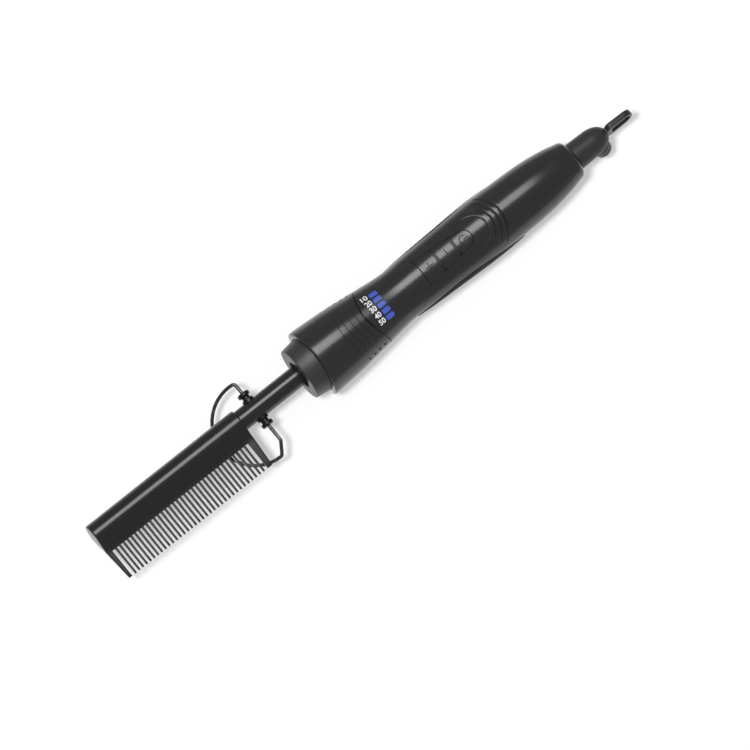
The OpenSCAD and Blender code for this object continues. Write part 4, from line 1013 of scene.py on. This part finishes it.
# A long oval inlay that stands a little proud of the handle, with a rounded rim. Its plan is drawn
# out from its middle line, so that the rings stay long and narrow.
def sideGrip(side):
    g = grips
    half, rise = g["length"] / 2, g["height"] / 2
    r = ((half + g["blunt"]) ** 2 + rise ** 2) / (2 * rise)
    t = np.linspace(-half, half, 130)
    edge = np.sqrt(r ** 2 - t ** 2) - (r - rise)
    outline = np.concatenate([joined(g["x"] + t, -edge), joined(g["x"] + t[::-1], edge[::-1])])
    spine = joined(np.clip(outline[:, 0], g["x"] - half * 0.98, g["x"] + half * 0.98), 0)
    shares, drop = list(np.linspace(0, g["rimShare"], 14)), [0.0] * 14
    for a in np.linspace(0, math.pi / 2, 6)[1:]:
        shares.append(g["rimShare"] + (1 - g["rimShare"]) * math.sin(a))
        drop.append(g["rimRound"] * (1 - math.cos(a)))
    plan = np.array([spine + (outline - spine) * share for share in shares])
    level = np.sqrt((handleRadius(plan[..., 0]) + g["proud"]) ** 2 - plan[..., 1] ** 2)
    level -= np.array(drop)[:, None]
    under = np.array([outline, (outline + spine) / 2, spine])
    low = np.sqrt((handleRadius(under[..., 0]) - g["deep"]) ** 2 - under[..., 1] ** 2)
    plan = np.concatenate([plan, under])
    return [sheetOf(joined(plan[..., 0], side * np.concatenate([level, low]), plan[..., 1]))]


for index, kind in enumerate(("plus", "minus", "power")):
    node = kind + "_button"
    makePiece(kind + "Button", buttonCap(index, kind), "buttonPlastic", node, [node],
              sharp=62)
makePiece("lightWindows", windowLenses(), "windowPlastic", "handle", ["light_guide"])
makePiece("leftGrip", sideGrip(1), "gripRubber", "handle", ["left_grip"])
makePiece("rightGrip", sideGrip(-1), "gripRubber", "handle", ["right_grip"])


numbers = dict(
    words=("10", "20", "30", "40", "50"), x=42.5, lift=0.5, tall=2.6, wide=3.3, proud=0.09, thick=0.12,
    bold=0.02, layR=14.2,
)


# Plain two-figure numbers, made flat, bent onto the handle and joined into one piece.
def levelNumbers():
    n = numbers
    corners, faces, start = [], [], 0
    for k, word in enumerate(n["words"]):
        letters = bpy.data.curves.new("word", "FONT")
        letters.body = word
        letters.offset = n["bold"]
        holder = added("word", letters)
        flat = bpy.data.meshes.new_from_object(holder.evaluated_get(bpy.context.evaluated_depsgraph_get()))
        bpy.data.objects.remove(holder)
        co = np.zeros(len(flat.vertices) * 3)
        flat.vertices.foreach_get("co", co)
        co = co.reshape(-1, 3)[:, :2]
        low, high = co.min(0), co.max(0)
        co = (co - (low + high) / 2) / (high - low) * [n["wide"], n["tall"]]
        x = n["x"] + co[:, 0]
        turn = math.radians(((len(n["words"]) - 1) / 2 - k) * windows["pitch"])
        corners.append(aroundAxis(x, handleRadius(x) + n["proud"], (co[:, 1] + n["lift"]) / n["layR"] + turn))
        faces += [[v + start for v in p.vertices] for p in flat.polygons]
        start += len(co)
        bpy.data.meshes.remove(flat)
        bpy.data.curves.remove(letters)
    mesh = bpy.data.meshes.new("levelNumbers")
    mesh.from_pydata((noseCentre + mm * np.concatenate(corners)).tolist(), [], faces)
    mesh.materials.append(finishes["ink"])
    piece = added("levelNumbers", mesh)
    thick = piece.modifiers.new("thick", "SOLIDIFY")
    thick.thickness = n["thick"] * mm
    thick.offset = -1
    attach(piece, "handle")


levelNumbers()


tail = dict(
    startX=160.1, baseR=6.7, neckR=6.45, neckLength=10.0, domeLength=9.2, domePower=0.9, shaftR=4.0,
    collarR=5.4, collarBack=153.5, collarWide=1.5, ringSeatR=3.0, shaftFront=143.2, outletR=4.4, outletReach=9.0,
    outletLean=17.0, outletTurn=33.0, outletBack=1.8, outletRoot=0.5, outletTaper=0.15, cordR=2.6,
    glandWall=0.7, glandLength=5.0, glandGap=0.03, loopLength=14.2, loopRoot=11.0, loopEnd=9.0, loopThick=2.8,
    loopSoft=0.35, loopRootRound=2.0, slotWide=6.0, slotFrom=2.6, slotRound=1.0, endShare=0.98, loopTurn=84.0,
    tongueFrom=-4.5, tongueTo=1.2, tongueHalf=2.6, tongueRound=0.3, tongueInset=0.06,
)


# A profile turned about the cord outlet's own line.
def outletTurned(profile, around):
    t = tail
    lean, turn = math.radians(180 - t["outletLean"]), math.radians(-t["outletTurn"])
    z, x, y = np.moveaxis(lathe(profile, around), -1, 0)
    x, z = x * math.cos(lean) + z * math.sin(lean), -x * math.sin(lean) + z * math.cos(lean)
    y, z = y * math.cos(turn) - z * math.sin(turn), y * math.sin(turn) + z * math.cos(turn)
    return sheetOf(joined(x + t["startX"] + t["neckLength"] + t["outletBack"], y, z))


# A turned body with a long dome, and the outlet's stub, flared where it leaves the dome.
def swivelPiece():
    t = tail
    domeX, back, end = t["startX"] + t["neckLength"], t["collarBack"], t["outletReach"]
    a = np.radians(np.arange(4, 91, 4))
    dome = joined(domeX + t["domeLength"] * np.sin(a), t["neckR"] * np.cos(a) ** t["domePower"])
    ringBack = back - t["collarWide"]
    body = roundedLine([
        (t["shaftFront"], 0), (t["shaftFront"], t["ringSeatR"]), (ringBack, t["ringSeatR"]),
        (ringBack, t["collarR"]), (back, t["collarR"]), (back, t["shaftR"]), (t["startX"], t["shaftR"]),
        (t["startX"], t["baseR"]), (domeX, t["neckR"]), tuple(dome[0])], [0, 0, 0, 0, 0, 0, 0, 0.3, 0], 5)
    body = np.concatenate([body, dome[1:]])
    body[-1, 1] = 0
    seat, floor = t["cordR"] + t["glandWall"] + t["glandGap"], end - t["glandLength"]
    rootR = t["outletR"] + t["outletRoot"]
    stub = roundedLine([
        (1.0, 0), (1.0, rootR), (t["neckR"] - 0.9, rootR), (t["neckR"] + 0.5, t["outletR"]),
        (end, t["outletR"] - t["outletTaper"]), (end, seat), (floor, seat), (floor, 0)],
        [0, 0.4, 1.5, 0.8, 0.1, 0], 8)
    return [sheetOf(lathe(body, 128)), outletTurned(stub, 72)]


# A soft sleeve in the outlet, with a rounded mouth.
def gland():
    t = tail
    low, high, bore = t["outletReach"] - t["glandLength"], t["outletReach"], t["cordR"]
    outer = bore + t["glandWall"]
    ring = [(low, bore), (low, outer), (high, outer), (high, bore), (low, bore)]
    return [outletTurned(roundedLine(ring, [0, 0.15, 0.3], 4), 64)]


# A flat ring: an outer and an inner outline joined by a section with rounded edges, on a tongue.
def hangingLoop():
    t = tail
    domeEnd = t["startX"] + t["neckLength"] + t["domeLength"]
    around = fullTurn(160)
    endHalf, slotHalf, soft = t["loopEnd"] / 2, t["slotWide"] / 2, t["loopSoft"]
    slotTo = t["loopLength"] - (t["loopEnd"] - t["slotWide"]) / 2

    # A bar's outline with a round far end, its points at even bearings from the slot's middle.
    def outlineOf(corners, rootRound, half):
        radii = [rootRound, half * t["endShare"], half * t["endShare"], rootRound]
        loop = smoothLoop(corners, radii, 0.25)
        middle = np.array([(t["slotFrom"] + slotTo) / 2, 0])
        full = 2 * math.pi
        bearing = np.unwrap(np.arctan2(*(loop - middle).T[::-1])) % full
        order = np.argsort(bearing)
        return joined(*[np.interp(around, bearing[order], loop[order, k], period=full) for k in (0, 1)])
    outer = outlineOf(barCorners(0, t["loopRoot"] / 2, t["loopLength"], endHalf), t["loopRootRound"], endHalf)
    inner = outlineOf(barCorners(t["slotFrom"], slotHalf, slotTo, slotHalf), t["slotRound"], slotHalf)
    half = t["loopThick"] / 2
    width = np.linalg.norm(outer - inner, axis=1)
    rows = []
    for side, top, lead in ((1, 1, 0), (0, 1, 1), (0, -1, 2), (1, -1, 3)):
        for a in np.linspace(0, math.pi / 2, 5) + lead * math.pi / 2:
            along = (side * (width - 2 * soft) + soft + soft * math.cos(a)) / width
            flat = inner + (outer - inner) * along[:, None]
            rows.append(joined(flat[:, 0], flat[:, 1], top * (half - soft) + soft * math.sin(a)))
    tongue = barCorners(t["tongueFrom"], t["tongueHalf"], t["tongueTo"], t["tongueHalf"])
    face = half - t["tongueInset"]
    px, py, pz = pillow(smoothLoop(tongue, [t["tongueRound"]] * 4, 0.3), lambda x, y: face + 0 * x,
                        lambda x, y: -face + 0 * x, t["tongueRound"], 6)
    lean = math.radians(t["loopTurn"])

    def placed(x, y, z):
        return joined(x + domeEnd, y * math.cos(lean) - z * math.sin(lean),
                      y * math.sin(lean) + z * math.cos(lean))
    return [sheetOf(placed(*np.moveaxis(np.array(rows), -1, 0)), wrapRows=True), sheetOf(placed(px, py, pz))]


makePiece("tailSwivel", swivelPiece(), "swivelPlastic", "tail", ["tail_swivel"])
makePiece("cordGland", gland(), "blackLead", "tail", ["cord_gland"])
makePiece("hangingLoop", hangingLoop(), "loopPlastic", "tail", ["hanging_loop"])
print("pieces made")


studio = dict(
    floorSize=8.0, floorGrey=0.92, floorDull=0.995, floorGlow=0.41,
    glossStops=((-0.36, 0.3), (-0.1, 1.2), (0.035, 1.25), (0.11, 0.35)),  # y in metres, radiance
    stripRadiance=7.3, stripSize=(1.02, 0.67), stripPlace=(0.045, 0.44, 1.4), axisHeight=0.0173,
    keyStrength=2.7, keyAngle=10.0, keyFrom=(-0.33, 0.01, 1.0), skyTop=0.33, skyEdge=0.4, skyEdgeTo=0.5,
)
white = (1, 1, 1, 1)


# A pale floor: white and softly shadowed to the camera. A glossy surface sees it bright beside the
# comb and dimmer further off.
def addFloor():
    half = studio["floorSize"] / 2
    mesh = bpy.data.meshes.new("floor")
    corners = [(*corner, 0) for corner in barCorners(-half, half, half, half)]
    mesh.from_pydata(corners, [], [(0, 1, 2, 3)])
    floor = added("floor", mesh)
    f = Finish("floorPaper")
    seen = f.node("LightPath", output="Is Camera Ray")
    glossy = f.node("LightPath", output="Is Glossy Ray")
    tone = f.mixed(f.noise(60), grey(studio["floorGrey"] * studio["floorDull"]), grey(studio["floorGrey"]))
    paper = f.node("BsdfDiffuse", {}, {"Color": tone, "Roughness": 0.5})
    glow = f.node("Emission", {}, {"Color": white, "Strength": 1.0})
    stops = studio["glossStops"]
    start, span = stops[0][0], stops[-1][0] - stops[0][0]
    across = f.node("SeparateXYZ", {}, {0: f.where}, 1)
    ramp = f.ramp((across - start) / span, [((y - start) / span, (v, v, v)) for y, v in stops])
    dim = f.node("Emission", {}, {"Color": ramp, "Strength": 1.0})
    mixed = f.node("MixShader", {}, {0: seen * studio["floorGlow"], 1: paper, 2: glow})
    mesh.materials.append(f.shown(f.node("MixShader", {}, {0: glossy, 1: mixed, 2: dim})))


# One long softbox beside the comb, away from the teeth. It makes the shine and draws no shadow.
def addStrip():
    data = bpy.data.lights.new("strip", "AREA")
    data.shape = "RECTANGLE"
    data.size, data.size_y = studio["stripSize"]
    data.energy = studio["stripRadiance"] * math.pi * data.size * data.size_y
    lamp = added("strip", data)
    place = Vector(studio["stripPlace"])
    down = (Vector((place.x, 0, studio["axisHeight"])) - place).normalized()
    side = Vector((1, 0, 0))
    lamp.matrix_world = standing(side, (-down).cross(side), -down, place)
    lamp.visible_diffuse = False


# A plain key light that draws the short shadow and leaves no shine of its own.
def addKey():
    data = bpy.data.lights.new("key", "SUN")
    data.energy = studio["keyStrength"]
    data.angle = math.radians(studio["keyAngle"])
    lamp = added("key", data)
    lamp.rotation_euler = Vector(studio["keyFrom"]).to_track_quat("Z", "Y").to_euler()
    lamp.visible_glossy = False


# A dim dome that grows bright towards the horizon, and plain white where the camera sees it.
def addSky():
    world = bpy.data.worlds.new("studio")
    bpy.context.scene.world = world
    f = Finish("studio", world)
    height = f.node("SeparateXYZ", {}, {0: f.where}, 2)
    dome = f.ramp(height, [(0.0, [studio["skyEdge"]] * 3), (studio["skyEdgeTo"], [studio["skyTop"]] * 3)])
    seen = f.node("LightPath", output="Is Camera Ray")
    f.shown(f.node("Background", {}, {"Color": f.mixed(seen, dome, white)}))


addFloor()
addStrip()
addKey()
addSky()
bpy.context.scene.view_settings.view_transform = "Standard"
print("studio lit")
